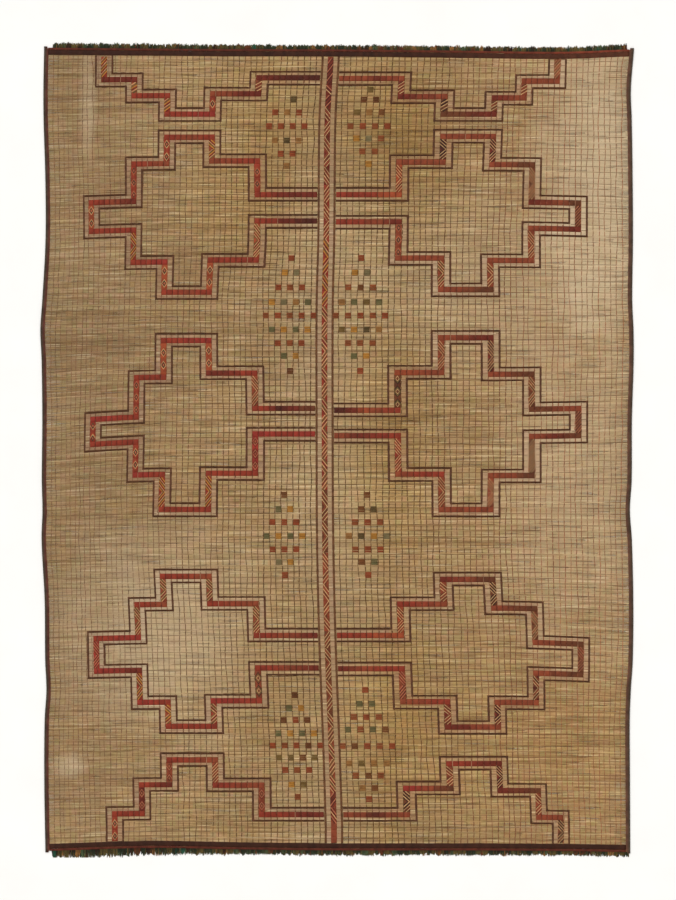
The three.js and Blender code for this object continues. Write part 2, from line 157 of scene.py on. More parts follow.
def even_marks():
    """Thong numbers and their even places across the mat, from the left edge to the right."""
    numbers, places = [0.0], [SPINE_ACROSS]
    for sign, runs in ((-1, RUNS_LEFT), (1, RUNS_RIGHT)):
        thongs, pitch = np.array(runs["thongs"]), np.array(runs["pitch"])
        numbers += list(sign * np.cumsum(thongs))
        places += list(SPINE_ACROSS + sign * np.cumsum(thongs * pitch))
    order = np.argsort(numbers)
    return np.array(numbers)[order], np.array(places)[order]


EVEN_NUMBERS, EVEN_PLACES = even_marks()


def left_side(up):
    return -(HALF_LEFT + along(SIDES, "left", up))


def right_side(up):
    return HALF_RIGHT + along(SIDES, "right", up)


def end_line(end, across):
    return end * (HALF_LENGTH + along(ENDS, "top" if end > 0 else "bottom", across, key="across"))


print("edge thongs lie at:", EVEN_PLACES[[0, -1]].round(1))


# %% [markdown]
# A place on the grid becomes a place on the floor in two steps: the thong gives the distance across, with its
# wander at that height, and the reeds' bend near the sides moves the height. A real mat of stiff reeds never
# lies dead flat either, so the whole surface gets a cockle of a few millimetres.

# %% From the grid to the floor
def drift_at(thong, up):
    marks = np.array([-LAST_THONG, *DRIFT_AT.values(), LAST_THONG], float)
    inner = [along(DRIFT, name, up) for name in DRIFT_AT]
    columns = np.stack([-along(SIDES, "left", up), *inner, along(SIDES, "right", up)])
    i = np.clip(np.searchsorted(marks, thong, side="right") - 1, 0, len(marks) - 2)
    t = np.clip((thong - marks[i]) / (marks[i + 1] - marks[i]), 0, 1)
    before = np.take_along_axis(columns, i[None], 0)[0]
    after = np.take_along_axis(columns, i[None] + 1, 0)[0]
    return before + t * (after - before)


def bend_at(thong, up):
    out = np.maximum(0, (np.abs(thong) - BEND_FROM) / BEND_OVER) ** 1.5
    return np.where(thong < 0, along(BEND, "left", up), along(BEND, "right", up)) * out


PIPING_REACH, END_BAND_WIDE, LEATHER_GAP = 14, 26.5, 0.3
END_LEATHER = PIPING_REACH + END_BAND_WIDE + 4 * LEATHER_GAP


def on_mat(thong, rise):
    """Millimetres across and up for places on the grid, kept clear of the leather at the ends."""
    thong, rise = np.broadcast_arrays(np.asarray(thong, float), np.asarray(rise, float))
    across = np.interp(thong, EVEN_NUMBERS, EVEN_PLACES) + drift_at(thong, rise)
    up = rise + bend_at(thong, rise)
    return across, np.clip(up, end_line(-1, across) + END_LEATHER, end_line(1, across) - END_LEATHER)


COCKLE = 2.6


def lift(across, up):
    """How far the mat stands off the floor by its cockle."""
    waves = np.sin(across / 330 + up / 900 + 0.4) + 0.8 * np.sin(up / 260 - across / 1100 + 1.9)
    waves += 0.5 * np.sin((across + up) / 170 + 2.2)
    return COCKLE * (0.5 + waves / 4.6)


sample = lift(*np.meshgrid(np.linspace(-1600, 1600, 60), np.linspace(-2200, 2200, 80)))
print("cockle from", sample.min().round(2), "to", sample.max().round(2), "mm")


# %% [markdown]
# ## Making meshes
# Most pieces are many alike: stems, stitches, cells. Each is worked out as rows and columns of points, for
# thousands of them at once, and then written into one mesh. That is much faster than adding them one by one.
# Colours of single strands are kept on the points, where the leather's material reads them.

# %% Grids of points to faces
def grid_faces(count, rows, columns, closed=False):
    """Faces between neighbouring points of count grids. closed joins the last column to the first."""
    wide = columns if closed else columns - 1
    r, c = np.meshgrid(np.arange(rows - 1), np.arange(wide), indexing="ij")
    r, c = r.ravel(), c.ravel()
    after = (c + 1) % columns
    here, above = r * columns, (r + 1) * columns
    one = np.stack([here + c, here + after, above + after, above + c], 1)
    return (one[None] + (np.arange(count) * rows * columns)[:, None, None]).reshape(-1, 4)


def points_of(across, up, height):
    """Points in metres, from millimetres. The cockle lifts them."""
    across, up, height = np.broadcast_arrays(across, up, height)
    return np.stack([across, up, height + lift(across, up)], -1).reshape(-1, 3) * MM


def for_each_point(dye, times):
    """The dye of each place on a grid, repeated for the points of its section."""
    return np.repeat(dye[:, :, None], times, 2).reshape(-1, 3)


def linear(colour):
    """A colour as the eye names it, 0 to 255, as the light it sends back."""
    share = np.asarray(colour, float) / 255
    return np.where(share <= 0.04045, share / 12.92, ((share + 0.055) / 1.055) ** 2.4)


# %% [markdown]
# The map that the colours are baked on is laid out one face at a time. Faces that look up go on the upper half
# and the others on the lower half. A long narrow piece is cut into lengths that lie side by side, or else its
# strands would be too small on the map to show.

# %% One mesh from points and faces
def read_all(items, key, wide, kind):
    found = np.empty(len(items) * wide, kind)
    items.foreach_get(key, found)
    return found.reshape(-1, wide) if wide > 1 else found


def lay_out_bake_map(mesh, lengths, axis):
    """lengths is how many parts the piece is cut into, and axis is the way it is long."""
    corners = read_all(mesh.loops, "vertex_index", 1, np.int32)
    places = read_all(mesh.vertices, "co", 3, np.float32)
    normals = read_all(mesh.polygons, "normal", 3, np.float32)
    total = read_all(mesh.polygons, "loop_total", 1, np.int32)
    face = np.repeat(np.arange(len(total)), total)
    low, high = places.min(0), places.max(0)
    share = (places[corners] - low) / np.maximum(high - low, 1e-6)
    run, cross = share[:, axis], share[:, 1 - axis]
    middle = np.bincount(face, run) / total
    part = np.minimum((middle * lengths).astype(int), lengths - 1)[face]
    u = (part + 0.04 + 0.92 * cross) / lengths
    v = np.clip(run * lengths - part, 0, 1) * 0.48 + 0.01
    up = normals[face, 2] >= 0
    layer = mesh.uv_layers.new(name="OFBake")
    layer.uv.foreach_set("vector", np.stack([u, v + 0.5 * up], 1).astype(np.float32).ravel())


def make_piece(name, points, faces, material, dye=None, values=None, lengths=1, axis=1):
    """A piece from arrays. dye is a colour for each point, and values holds named numbers for each point."""
    faces = [np.asarray(f) for f in faces if len(f)]
    sizes = np.concatenate([np.full(len(f), f.shape[1]) for f in faces])
    mesh = bpy.data.meshes.new(name)
    mesh.vertices.add(len(points))
    mesh.vertices.foreach_set("co", np.asarray(points, np.float32).ravel())
    mesh.loops.add(int(sizes.sum()))
    mesh.loops.foreach_set("vertex_index", np.concatenate([f.ravel() for f in faces]).astype(np.int32))
    mesh.polygons.add(len(sizes))
    mesh.polygons.foreach_set("loop_start", np.concatenate([[0], np.cumsum(sizes)[:-1]]).astype(np.int32))
    mesh.update(calc_edges=True)
    mesh.polygons.foreach_set("use_smooth", np.ones(len(sizes), bool))
    if dye is not None:
        layer = mesh.attributes.new("dye", "FLOAT_COLOR", "POINT")
        colours = np.concatenate([dye, np.ones((len(dye), 1))], 1)
        layer.data.foreach_set("color", colours.astype(np.float32).ravel())
    for key, numbers in (values or {}).items():
        mesh.attributes.new(key, "FLOAT", "POINT").data.foreach_set("value", numbers.astype(np.float32))
    lay_out_bake_map(mesh, lengths, axis)
    mesh.materials.append(material)
    piece = bpy.data.objects.new(name, mesh)
    bpy.context.scene.collection.objects.link(piece)
    return piece


triangles = {}


def settle(piece, slot, *nodes):
    """The piece rides on the mat's body and stands for its nodes, if any. slot is not used."""
    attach(piece, "root")
    if nodes:
        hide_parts(*nodes)
    triangles[piece.name] = sum(len(p.vertices) - 2 for p in piece.data.polygons)
    return piece


print("mesh helpers are ready")


# %% [markdown]
# ## Finishes
# A finish is a small network of nodes. Two helpers keep it readable: one starts a material with its shader,
# and one adds a node and plugs in its inputs.

# %% Helpers for materials
def rgba(colour):
    return (*linear(colour), 1)


def start_material(name, plain):
    """plain is the colour that stands in wherever the nodes can't be read."""
    material = bpy.data.materials.new(name)
    material.use_nodes = True
    tree = material.node_tree
    shader = tree.nodes["Principled BSDF"]
    shader.inputs["Base Color"].default_value = rgba(plain)
    return material, tree, shader


def node(tree, kind, inputs=None, **settings):
    made = tree.nodes.new(kind)
    for key, value in settings.items():
        setattr(made, key, value)
    for key, value in (inputs or {}).items():
        if isinstance(value, bpy.types.NodeSocket):
            tree.links.new(value, made.inputs[key])
        else:
            made.inputs[key].default_value = value
    return made


def maths(tree, operation, a, b=0.0):
    return node(tree, "ShaderNodeMath", {0: a, 1: b}, operation=operation).outputs[0]


def noise(tree, place, scale, detail=2.0, rough=0.5):
    inputs = {"Vector": place, "Scale": scale, "Detail": detail, "Roughness": rough}
    return node(tree, "ShaderNodeTexNoise", inputs).outputs["Fac"]


def blend_colours(tree, share, a, b, how="MIX"):
    mix = node(tree, "ShaderNodeMix", data_type="RGBA", blend_type=how)
    for socket, value in ((mix.inputs[0], share), (mix.inputs[6], a), (mix.inputs[7], b)):
        if isinstance(value, bpy.types.NodeSocket):
            tree.links.new(value, socket)
        else:
            socket.default_value = value
    return mix.outputs[2]


def remap(tree, value, low, high, to_low=0.0, to_high=1.0):
    inputs = {"Value": value, "From Min": low, "From Max": high, "To Min": to_low, "To Max": to_high}
    return node(tree, "ShaderNodeMapRange", inputs).outputs[0]


def ramp(tree, value, stops):
    made = node(tree, "ShaderNodeValToRGB", {"Fac": value})
    elements = made.color_ramp.elements
    while len(elements) < len(stops):
        elements.new(0.5)
    for element, (at, colour) in zip(elements, stops):
        element.position = at
        element.color = rgba(colour)
    return made.outputs["Color"]


def bump(tree, height, distance, strength=1.0):
    inputs = {"Height": height, "Distance": distance, "Strength": strength}
    return node(tree, "ShaderNodeBump", inputs).outputs["Normal"]


print("material helpers are ready")

# %% [markdown]
# ### Dry reed
# A dry stem is straw-coloured and goes browner in stretches. Each stem has its own shade: a number on its
# points picks it, and a noise that is stretched along the stem carries it on. Long use has stained the mat
# yellow in places and rubbed it pale in others, so soft patches are laid over all the stems. Some of the pale
# patches are painted light as well as wear, lightening the right side and the top right, and grey patches of
# painted shade darken the reeds, most of all along the left side. Each cell between two thongs is painted a
# little lighter or darker, as painted light and shade for the tilt of its reeds. Dark rings are the stems'
# joints.

# %% Reed material
STAINS = (
    # across, up, half as wide, half as tall, and how strong: metres, and a share
    (-0.07, 1.9, 0.5, 0.36, 0.4),
    (0.24, 0.0, 0.26, 0.6, 0.4),
    (0.2, -1.5, 0.3, 0.5, 0.4),
    (-0.5, 1.4, 0.3, 0.3, 0.3),
    (0.9, -1.7, 0.9, 0.5, 0.3),
    (-0.3, -1.2, 0.35, 0.4, 0.3),
    (0.35, 1.7, 0.35, 0.5, 0.35),
)
# Painted shade: grey patches that darken the reeds, most of all along the left side.
PAINTED_SHADE_PATCHES = (
    (-1.5, 0.5, 0.5, 3.2, 0.8),
    (0.3, 1.9, 0.45, 0.5, 0.35),
    (-0.7, 0.6, 0.5, 0.5, 0.3),
)
# Pale patches: partly rubbed wear, and partly painted light that lightens the right side and the top right.
RUBBED_AND_LIT_PATCHES = (
    (-0.05, 0.0, 0.26, 2.7, 0.14),
    (-1.39, 1.9, 0.035, 0.28, 0.3),
    (-1.5, -1.76, 0.07, 0.06, 0.4),
    (1.5, 1.55, 0.32, 0.8, 0.62),
    (1.4, -0.1, 0.4, 0.9, 0.3),
    (0.9, 0.95, 0.6, 0.4, 0.22),
    (-0.95, -1.0, 0.5, 0.5, 0.36),
)
STRAW = (
    (0.26, (120, 90, 54)),
    (0.46, (157, 126, 83)),
    (0.68, (184, 152, 107)),
    (0.86, (206, 178, 132)),
    (1.0, (228, 206, 162)),
)
PALE_STRAW = (
    (0.26, (146, 112, 80)),
    (0.5, (182, 148, 112)),
    (0.75, (196, 166, 128)),
    (1.0, (212, 188, 150)),
)
FRESH_STRAW = (230, 206, 164)
# Painted light and shade: each cell between two thongs is made a little lighter or darker, for the tilt of its
# reeds.
CELLS_IN_A_METRE, CELL_LIGHT_AND_SHADE = (31.0, 30.9), ((0.12, 0.09, 0.13), (0.94, 0.955, 0.935))


def vector_maths(tree, operation, *values):
    return node(tree, "ShaderNodeVectorMath", dict(enumerate(values)), operation=operation)


def patch(tree, place, spot, ragged):
    """A soft patch on the mat: as strong as it says in its middle, and 0 outside."""
    x, y, wide, tall, strong = spot
    away = vector_maths(tree, "SUBTRACT", place, (x, y, 0)).outputs[0]
    away = vector_maths(tree, "MULTIPLY", away, (1 / wide, 1 / tall, 0)).outputs[0]
    far = vector_maths(tree, "LENGTH", away).outputs["Value"]
    return maths(tree, "MULTIPLY", remap(tree, maths(tree, "ADD", far, ragged), 1.5, 0.4), strong)


def along_stem(tree, across, scale, own_line, layer=0.0):
    """A place for a noise that is stretched along a stem, and differs from stem to stem."""
    inputs = {0: maths(tree, "MULTIPLY", across, scale), 1: own_line, 2: layer}
    return node(tree, "ShaderNodeCombineXYZ", inputs).outputs[0]


def reed_material(name, straw):
    material, tree, shader = start_material(name, straw[1][1])
    place = node(tree, "ShaderNodeTexCoord").outputs["Object"]
    apart = node(tree, "ShaderNodeSeparateXYZ", {0: place})
    across = apart.outputs[0]
    stem = node(tree, "ShaderNodeAttribute", attribute_name="stem").outputs["Fac"]
    own_line = maths(tree, "MULTIPLY", stem, 300)
    streak = noise(tree, along_stem(tree, across, 10.0, own_line), 1.0, 3.0, 0.6)
    shade = maths(tree, "ADD", maths(tree, "MULTIPLY", stem, 0.3), maths(tree, "MULTIPLY", streak, 0.7))
    broad = noise(tree, place, 1.4, 3.0, 0.55)
    shade = maths(tree, "ADD", shade, maths(tree, "MULTIPLY", maths(tree, "SUBTRACT", broad, 0.17), 0.32))
    colour = ramp(tree, shade, straw)
    # Painted light and shade, one cell between two thongs at a time.
    tiles = vector_maths(tree, "MULTIPLY", place, (*CELLS_IN_A_METRE, 0)).outputs[0]
    tiles = vector_maths(tree, "FLOOR", tiles).outputs[0]
    cell = node(tree, "ShaderNodeTexWhiteNoise", {"Vector": tiles}, noise_dimensions="3D").outputs["Color"]
    cell = vector_maths(tree, "MULTIPLY_ADD", cell, *CELL_LIGHT_AND_SHADE).outputs[0]
    colour = blend_colours(tree, 1.0, colour, cell, "MULTIPLY")
    fresh = noise(tree, along_stem(tree, across, 2.6, own_line, 7.0), 1.0, 2.0, 0.5)
    fresh = remap(tree, fresh, 0.62, 0.7, 0.0, 0.62)
    colour = blend_colours(tree, fresh, colour, rgba(FRESH_STRAW))
    ragged = maths(tree, "MULTIPLY", maths(tree, "SUBTRACT", noise(tree, place, 4.0, 4.0, 0.6), 0.5), 1.5)
    # The stains are the mat's own colour. The grey patches are painted shade, and the pale ones are rubbed wear
    # and painted light.
    for spots, tint, how in (
            (STAINS, (242, 226, 164), "MULTIPLY"), (PAINTED_SHADE_PATCHES, (224, 224, 230), "MULTIPLY"),
            (RUBBED_AND_LIT_PATCHES, (222, 202, 168), "MIX")):
        for spot in spots:
            colour = blend_colours(tree, patch(tree, place, spot, ragged), colour, rgba(tint), how)
    joint_place = maths(tree, "ADD", maths(tree, "MULTIPLY", across, 5.2), maths(tree, "MULTIPLY", stem, 53))
    joint = remap(tree, maths(tree, "FRACT", joint_place), 0.012, 0.004)
    colour = blend_colours(tree, maths(tree, "MULTIPLY", joint, 0.5), colour, rgba((96, 66, 42)))
    tree.links.new(colour, shader.inputs["Base Color"])
    fibres = vector_maths(tree, "MULTIPLY", place, (30, 1400, 600)).outputs[0]
    grain = noise(tree, fibres, 1.0, 2.0)
    tree.links.new(remap(tree, grain, 0.3, 0.7, 0.5, 0.72), shader.inputs["Roughness"])
    tree.links.new(bump(tree, maths(tree, "SUBTRACT", grain, joint), 0.0003, 0.6), shader.inputs["Normal"])
    shader.inputs["Specular IOR Level"].default_value = 0.16
    return material


dry_reed = reed_material("dry_reed", STRAW)
pale_reed = reed_material("pale_reed", PALE_STRAW)
print("nodes in the reed's material:", len(dry_reed.node_tree.nodes))

# %% [markdown]
# ### Leather
# All the leather is the same hide with other dyes. The dye comes from the points. Noise makes it uneven, pale
# scuffs show where feet have worn it, and a fine cell pattern gives the grain a bump.

# %% Leather material
def leather_material(name, plain, sheen, scuffs):
    material, tree, shader = start_material(name, plain)
    place = node(tree, "ShaderNodeTexCoord").outputs["Object"]
    dye = node(tree, "ShaderNodeAttribute", attribute_name="dye").outputs["Color"]
    uneven = remap(tree, noise(tree, place, 34.0, 4.0, 0.65), 0.32, 0.68, 0.72, 1.16)
    shade = node(tree, "ShaderNodeCombineXYZ", {0: uneven, 1: uneven, 2: uneven}).outputs[0]
    colour = blend_colours(tree, 1.0, dye, shade, "MULTIPLY")
    worn = remap(tree, noise(tree, place, 150.0, 3.0, 0.7), 0.58, 0.76)
    colour = blend_colours(tree, maths(tree, "MULTIPLY", worn, scuffs), colour, rgba((168, 132, 104)))
    tree.links.new(colour, shader.inputs["Base Color"])
    cells = node(tree, "ShaderNodeTexVoronoi", {"Vector": place, "Scale": 620.0}).outputs["Distance"]
    creases = maths(tree, "ADD", cells, maths(tree, "MULTIPLY", noise(tree, place, 90.0, 3.0), 1.4))
    tree.links.new(bump(tree, creases, 0.0004, 0.7), shader.inputs["Normal"])
    tree.links.new(remap(tree, creases, 0.4, 1.5, sheen - 0.1, sheen + 0.16), shader.inputs["Roughness"])
    shader.inputs["Specular IOR Level"].default_value = 0.16
    return material


laced_leather = leather_material("laced_leather", (130, 46, 36), 0.52, 0.12)
line_leather = leather_material("line_leather", (70, 44, 34), 0.5, 0.06)
edge_leather = leather_material("edge_leather", (74, 42, 40), 0.55, 0.08)
fringe_leather = leather_material("fringe_leather", (62, 60, 42), 0.68, 0.06)
thong_leather = leather_material("thong_leather", (112, 78, 56), 0.58, 0.04)
print("leathers:", [m.name for m in bpy.data.materials if m.name.endswith("leather")])

# %% [markdown]
# The laces, squares and fringe use seventeen dyes. Each has a name and the colour that the eye sees, so
# the charts further down can name a dye where a strand changes.

# %% Dyes
DYES = {
    "red": (134, 49, 30),
    "crimson": (140, 46, 34),
    "brick": (130, 60, 35),
    "dark_red": (104, 38, 23),
    "maroon": (76, 30, 18),
    "rust": (146, 66, 36),
    "gold": (176, 120, 46),
    "tan": (142, 98, 52),
    "olive": (96, 80, 42),
    "green": (76, 88, 58),
    "dark_green": (48, 54, 35),
    "grey": (108, 106, 76),
    "cream": (200, 160, 108),
    "pink": (180, 112, 78),
    "brown": (98, 52, 28),
    "dark": (52, 34, 22),
    "teal": (40, 84, 64),
}


def dyed(name):
    """One strand's dye. No two strands take it alike, so each is a little lighter or darker."""
    return linear(DYES[name])[None] * chance.uniform(0.84, 1.14, (1, 1))


print("dyes:", len(DYES))

# %% [markdown]
# ## The reeds
# The stems lie across the mat in bundles, six to a bundle, and the thongs pull each bundle into a low rib. A
# stem is shorter than the mat is wide, so each line of reed is made of several stems, end to end. A stem is a
# tube of five sides, which smooth shading makes round. Its ends are thinner, where it was trimmed.

# %% Reed stems
BUNDLES, REEDS_IN_BUNDLE, STRIPS = 138, 6, 12
STEM_STATIONS, STEM_SIDES = 8, 5
REED_HIGH, REED_MIDDLE, BUNDLE_CROWN = 2.0, 2.35, 0.55
STEM_LONG, STEM_OVERLAP, SHORTEST_STEM, SIDE_ROOM = (620, 1500), 7, 25, 2
TRIMMED = 0.62
END_FROM, END_OVER = 2060, 160


def bundle_edges():
    even = np.linspace(-HALF_LENGTH + 2, HALF_LENGTH - 2, BUNDLES + 1)
    even[1:-1] += chance.uniform(-2.2, 2.2, BUNDLES - 1)
    return even


BUNDLE_EDGES = bundle_edges()


def reed_line(rise, across):
    """How far up the mat a reed lies. Near an end of the mat it follows the end's line."""
    thong = np.interp(across, EVEN_PLACES, EVEN_NUMBERS)
    near = np.clip((np.abs(rise) - END_FROM) / END_OVER, 0, 1)
    near = near * near * (3 - 2 * near)
    end = np.where(rise > 0, end_line(1, across) - HALF_LENGTH, end_line(-1, across) + HALF_LENGTH)
    return rise + (1 - near) * bend_at(thong, rise) + near * end


def stem_table():
    """One row for each stem: its line's rise, height and half width, and where it starts and stops."""
    rows = []
    for bundle in range(BUNDLES):
        low, high = BUNDLE_EDGES[bundle], BUNDLE_EDGES[bundle + 1]
        for reed in range(REEDS_IN_BUNDLE):
            rise = low + (high - low) * (reed + 0.5) / REEDS_IN_BUNDLE
            crown = 1 - ((reed - 2.5) / 2.5) ** 2
            start = -HALF_LEFT - chance.uniform(0, 900)
            while start < HALF_RIGHT:
                stop = start + chance.uniform(*STEM_LONG)
                height = REED_MIDDLE + BUNDLE_CROWN * crown + chance.uniform(-0.28, 0.28)
                half = (high - low) / REEDS_IN_BUNDLE / 2 * chance.uniform(1.02, 1.2)
                ends = start - STEM_OVERLAP, stop + STEM_OVERLAP
                rows.append((bundle, rise, height, half, *ends, chance.random()))
                start = stop
    return np.array(rows)


def reed_strips():
    table = stem_table()
    bundle, rise, height, half, start, stop, shade = table.T
    start = np.maximum(start, left_side(rise) + SIDE_ROOM)
    stop = np.minimum(stop, right_side(rise) - SIDE_ROOM)
    keep = stop - start > SHORTEST_STEM
    kept = [column[keep] for column in (bundle, rise, height, half, start, stop, shade)]
    bundle, rise, height, half, start, stop, shade = kept
    t = np.linspace(0, 1, STEM_STATIONS)
    across = start[:, None] + (stop - start)[:, None] * t
    wander = chance.uniform(-0.4, 0.4, across.shape)
    up = reed_line(np.broadcast_to(rise[:, None], across.shape), across) + wander
    trim = np.where((t == 0) | (t == 1), TRIMMED, 1)
    turn = np.radians(90) + np.arange(STEM_SIDES) * 2 * math.pi / STEM_SIDES
    ys = up[..., None] - np.cos(turn) * (half[:, None] * trim)[..., None]
    zs = height[:, None, None] + np.sin(turn) * (REED_HIGH * trim)[None, :, None]
    xs = np.broadcast_to(across[..., None], ys.shape)
    count = STEM_STATIONS * STEM_SIDES
    ring = np.arange(STEM_SIDES)
    made = []
    strip_of = (bundle * STRIPS // BUNDLES).astype(int)
    for strip in range(STRIPS):
        mine = strip_of == strip
        stems = int(mine.sum())
        points = points_of(xs[mine], ys[mine], zs[mine])
        first = (np.arange(stems) * count)[:, None]
        caps = [(first + ring).astype(int), (first + count - STEM_SIDES + ring[::-1]).astype(int)]
        tube = grid_faces(stems, STEM_STATIONS, STEM_SIDES, closed=True)[:, ::-1]
        values = {"stem": np.repeat(shade[mine], count)}
        piece = make_piece(f"reed_strip_{strip + 1:02d}", points, [tube, *caps], dry_reed, values=values)
        made.append(settle(piece, "reed", "reed_field"))
    return made


reeds = reed_strips()
print("reed strips:", len(reeds), "with triangles", sum(triangles[p.name] for p in reeds))

# %% [markdown]
# ## The threads and thongs
# A thong passes over a bundle, dips between it and the next, and comes up again, and its partner does the
# same below. From above it is a row of short stitches, a little aslant, because the two twist round each
# other. A row of stitches is a narrow strip with a ridge, and its height goes up and down along the mat.
# Hand-pulled thongs wander by a millimetre or two. They are darkest in the middle, where the mat was used
# most.

# %% Thong stitches
THONG_TOP, THONG_DIP, THONG_SLANT, THONG_WANDER = 6.0, 3.7, 0.6, 2.3
THONGS_A_SIDE, STITCH_FROM, STITCH_TO, THONG_END_ROOM = 48, 0.24, 0.76, 12
THONGS_ACROSS = (-1641, -1150, -800, -500, 0, 350, 700, 1100, 1648)
THONG_HALF = (1.4, 1.4, 1.7, 2.0, 2.1, 2.1, 2.0, 1.9, 1.8)
THONG_DYE = ((122, 84, 60), (120, 80, 56), (108, 72, 46), (92, 58, 30), (88, 56, 26),
             (90, 58, 28), (106, 66, 40), (144, 86, 58), (148, 92, 62))
# The threads' dyes are partly their own colour and partly painted shade for the grooves between bundles.
THREAD_AND_GROOVE_SHADE_DYE = ((130, 98, 66), (126, 94, 64), (118, 86, 54), (104, 72, 38), (98, 68, 34),
              (102, 70, 36), (114, 80, 48), (126, 86, 56), (122, 86, 52))


def dye_across(table, across):
    colours = linear(np.array(table))
    return np.stack([np.interp(across, THONGS_ACROSS, colours[:, k]) for k in range(3)], -1)


def smooth_wander(rows, columns, size):
    """Numbers that stray from 0 and change slowly along a row."""
    stray = chance.normal(0, size, (rows, columns + 4))
    return (stray[:, :-4] + 2 * stray[:, 1:-3] + 3 * stray[:, 2:-2] + 2 * stray[:, 3:-1] + stray[:, 4:]) / 4.4


def thong_rows(side):
    numbers = side * (SPINE_HALF + np.arange(1, THONGS_A_SIDE + 1, dtype=float))
    low, high = BUNDLE_EDGES[:-1], BUNDLE_EDGES[1:]
    rises = np.stack([low + share * (high - low) for share in (0, STITCH_FROM, STITCH_TO)], 1).ravel()
    beat = np.tile([0.0, 1.0, 1.0], BUNDLES)
    slant = np.tile([-1.0, -0.6, 0.6], BUNDLES)
    inside = np.abs(rises) < HALF_LENGTH - THONG_END_ROOM
    rises, beat, slant = rises[inside], beat[inside], slant[inside]
    thong, rise = np.meshgrid(numbers, rises, indexing="ij")
    across, _ = on_mat(thong, rise)
    wander = smooth_wander(len(numbers), BUNDLES + 1, THONG_WANDER)
    across = across + np.stack([np.interp(rises, BUNDLE_EDGES, row) for row in wander])
    across = across + chance.normal(0, 0.3, across.shape) + slant * THONG_SLANT
    up = reed_line(rise, across)
    wide = np.interp(across, THONGS_ACROSS, THONG_HALF)
    wide = wide * (0.78 + 0.22 * beat) * chance.uniform(0.8, 1.2, (len(numbers), 1))
    top = THONG_DIP + (THONG_TOP - THONG_DIP) * beat + chance.uniform(-0.15, 0.15, across.shape)
    xs = np.stack([across - wide, across, across + wide], -1)
    zs = np.stack([top - 0.7, top, top - 0.7], -1)
    upper = points_of(xs, up[..., None], zs)
    tone = chance.uniform(0.82, 1.22, (len(numbers), 1, 1))
    tone = tone * chance.uniform(0.82, 1.2, across.shape)[..., None]
    dye = dye_across(THONG_DYE, across) * tone
    under_xs = np.stack([across + wide, across - wide], -1)
    under_z = 0.5 * (1 - beat) + 0.1
    lower = points_of(under_xs, up[..., None], under_z[None, :, None])
    dyes = np.concatenate([for_each_point(dye, 3), for_each_point(dye, 2)])
    faces = [grid_faces(len(numbers), len(rises), wide) for wide in (3, 2)]
    faces[1] += len(upper)
    name = "thongs_left" if side < 0 else "thongs_right"
    return make_piece(name, np.concatenate([upper, lower]), faces, thong_leather, dye=dyes)


thongs = [settle(thong_rows(side), "dark_leather", "reed_field") for side in (-1, 1)]
print("thongs:", [(p.name, triangles[p.name]) for p in thongs])

# %% [markdown]
# A thin thread lies in the groove between one bundle and the next. Its dark colour is partly its own and
# partly painted shade for the groove. It shows best in the middle of the mat, where it makes the fine squared
# look together with the thongs. Towards the sides it is paler and often sinks out of sight between the reeds.

# %% Threads between the bundles
THREAD_HALF, THREAD_TOP, THREAD_SUNK, THREAD_STEP, THREAD_SIDE_ROOM = 1.15, 5.1, 3.2, 34, 30
THREAD_SHOWS = (-1641, -900, -450, 450, 900, 1648), (0.3, 0.62, 0.9, 0.9, 0.72, 0.62)


def threads_and_groove_shade():
    marks = int((HALF_LEFT + HALF_RIGHT) / THREAD_STEP)
    across = np.linspace(THREAD_SIDE_ROOM - HALF_LEFT, HALF_RIGHT - THREAD_SIDE_ROOM, marks)
    rises = BUNDLE_EDGES[2:-2]
    xs = np.broadcast_to(across, (len(rises), len(across)))
    ys = reed_line(np.broadcast_to(rises[:, None], xs.shape), xs)
    ys = ys + smooth_wander(*xs.shape, 0.7)
    showing = np.interp(across, *THREAD_SHOWS)
    sunk = smooth_wander(*xs.shape, 0.5) > (showing - 0.5) * 1.3
    tall = np.where(sunk, THREAD_SUNK, THREAD_TOP) + chance.uniform(-0.2, 0.2, xs.shape)
    half = THREAD_HALF * chance.uniform(0.75, 1.25, xs.shape)
    points = points_of(
        xs[..., None],
        np.stack([ys - half, ys, ys + half], -1),
        np.stack([tall - 0.9, tall, tall - 0.9], -1))
    dye = dye_across(THREAD_AND_GROOVE_SHADE_DYE, xs) * chance.uniform(0.8, 1.2, xs.shape)[..., None]
    faces = grid_faces(len(rises), len(across), 3)[:, ::-1]
    return make_piece("threads_and_groove_shade", points, [faces], thong_leather, dye=for_each_point(dye, 3))


threads = settle(threads_and_groove_shade(), "dark_leather", "reed_field")
print("threads:", triangles[threads.name])

# %% [markdown]
# ## The stepped loops
# A loop leaves the spine, steps out to a tip and steps back. Its turns are counted in thongs from the spine's
# line, and its level stretches are distances from the loop's own middle. The loops at the ends of the mat are
# only halves.

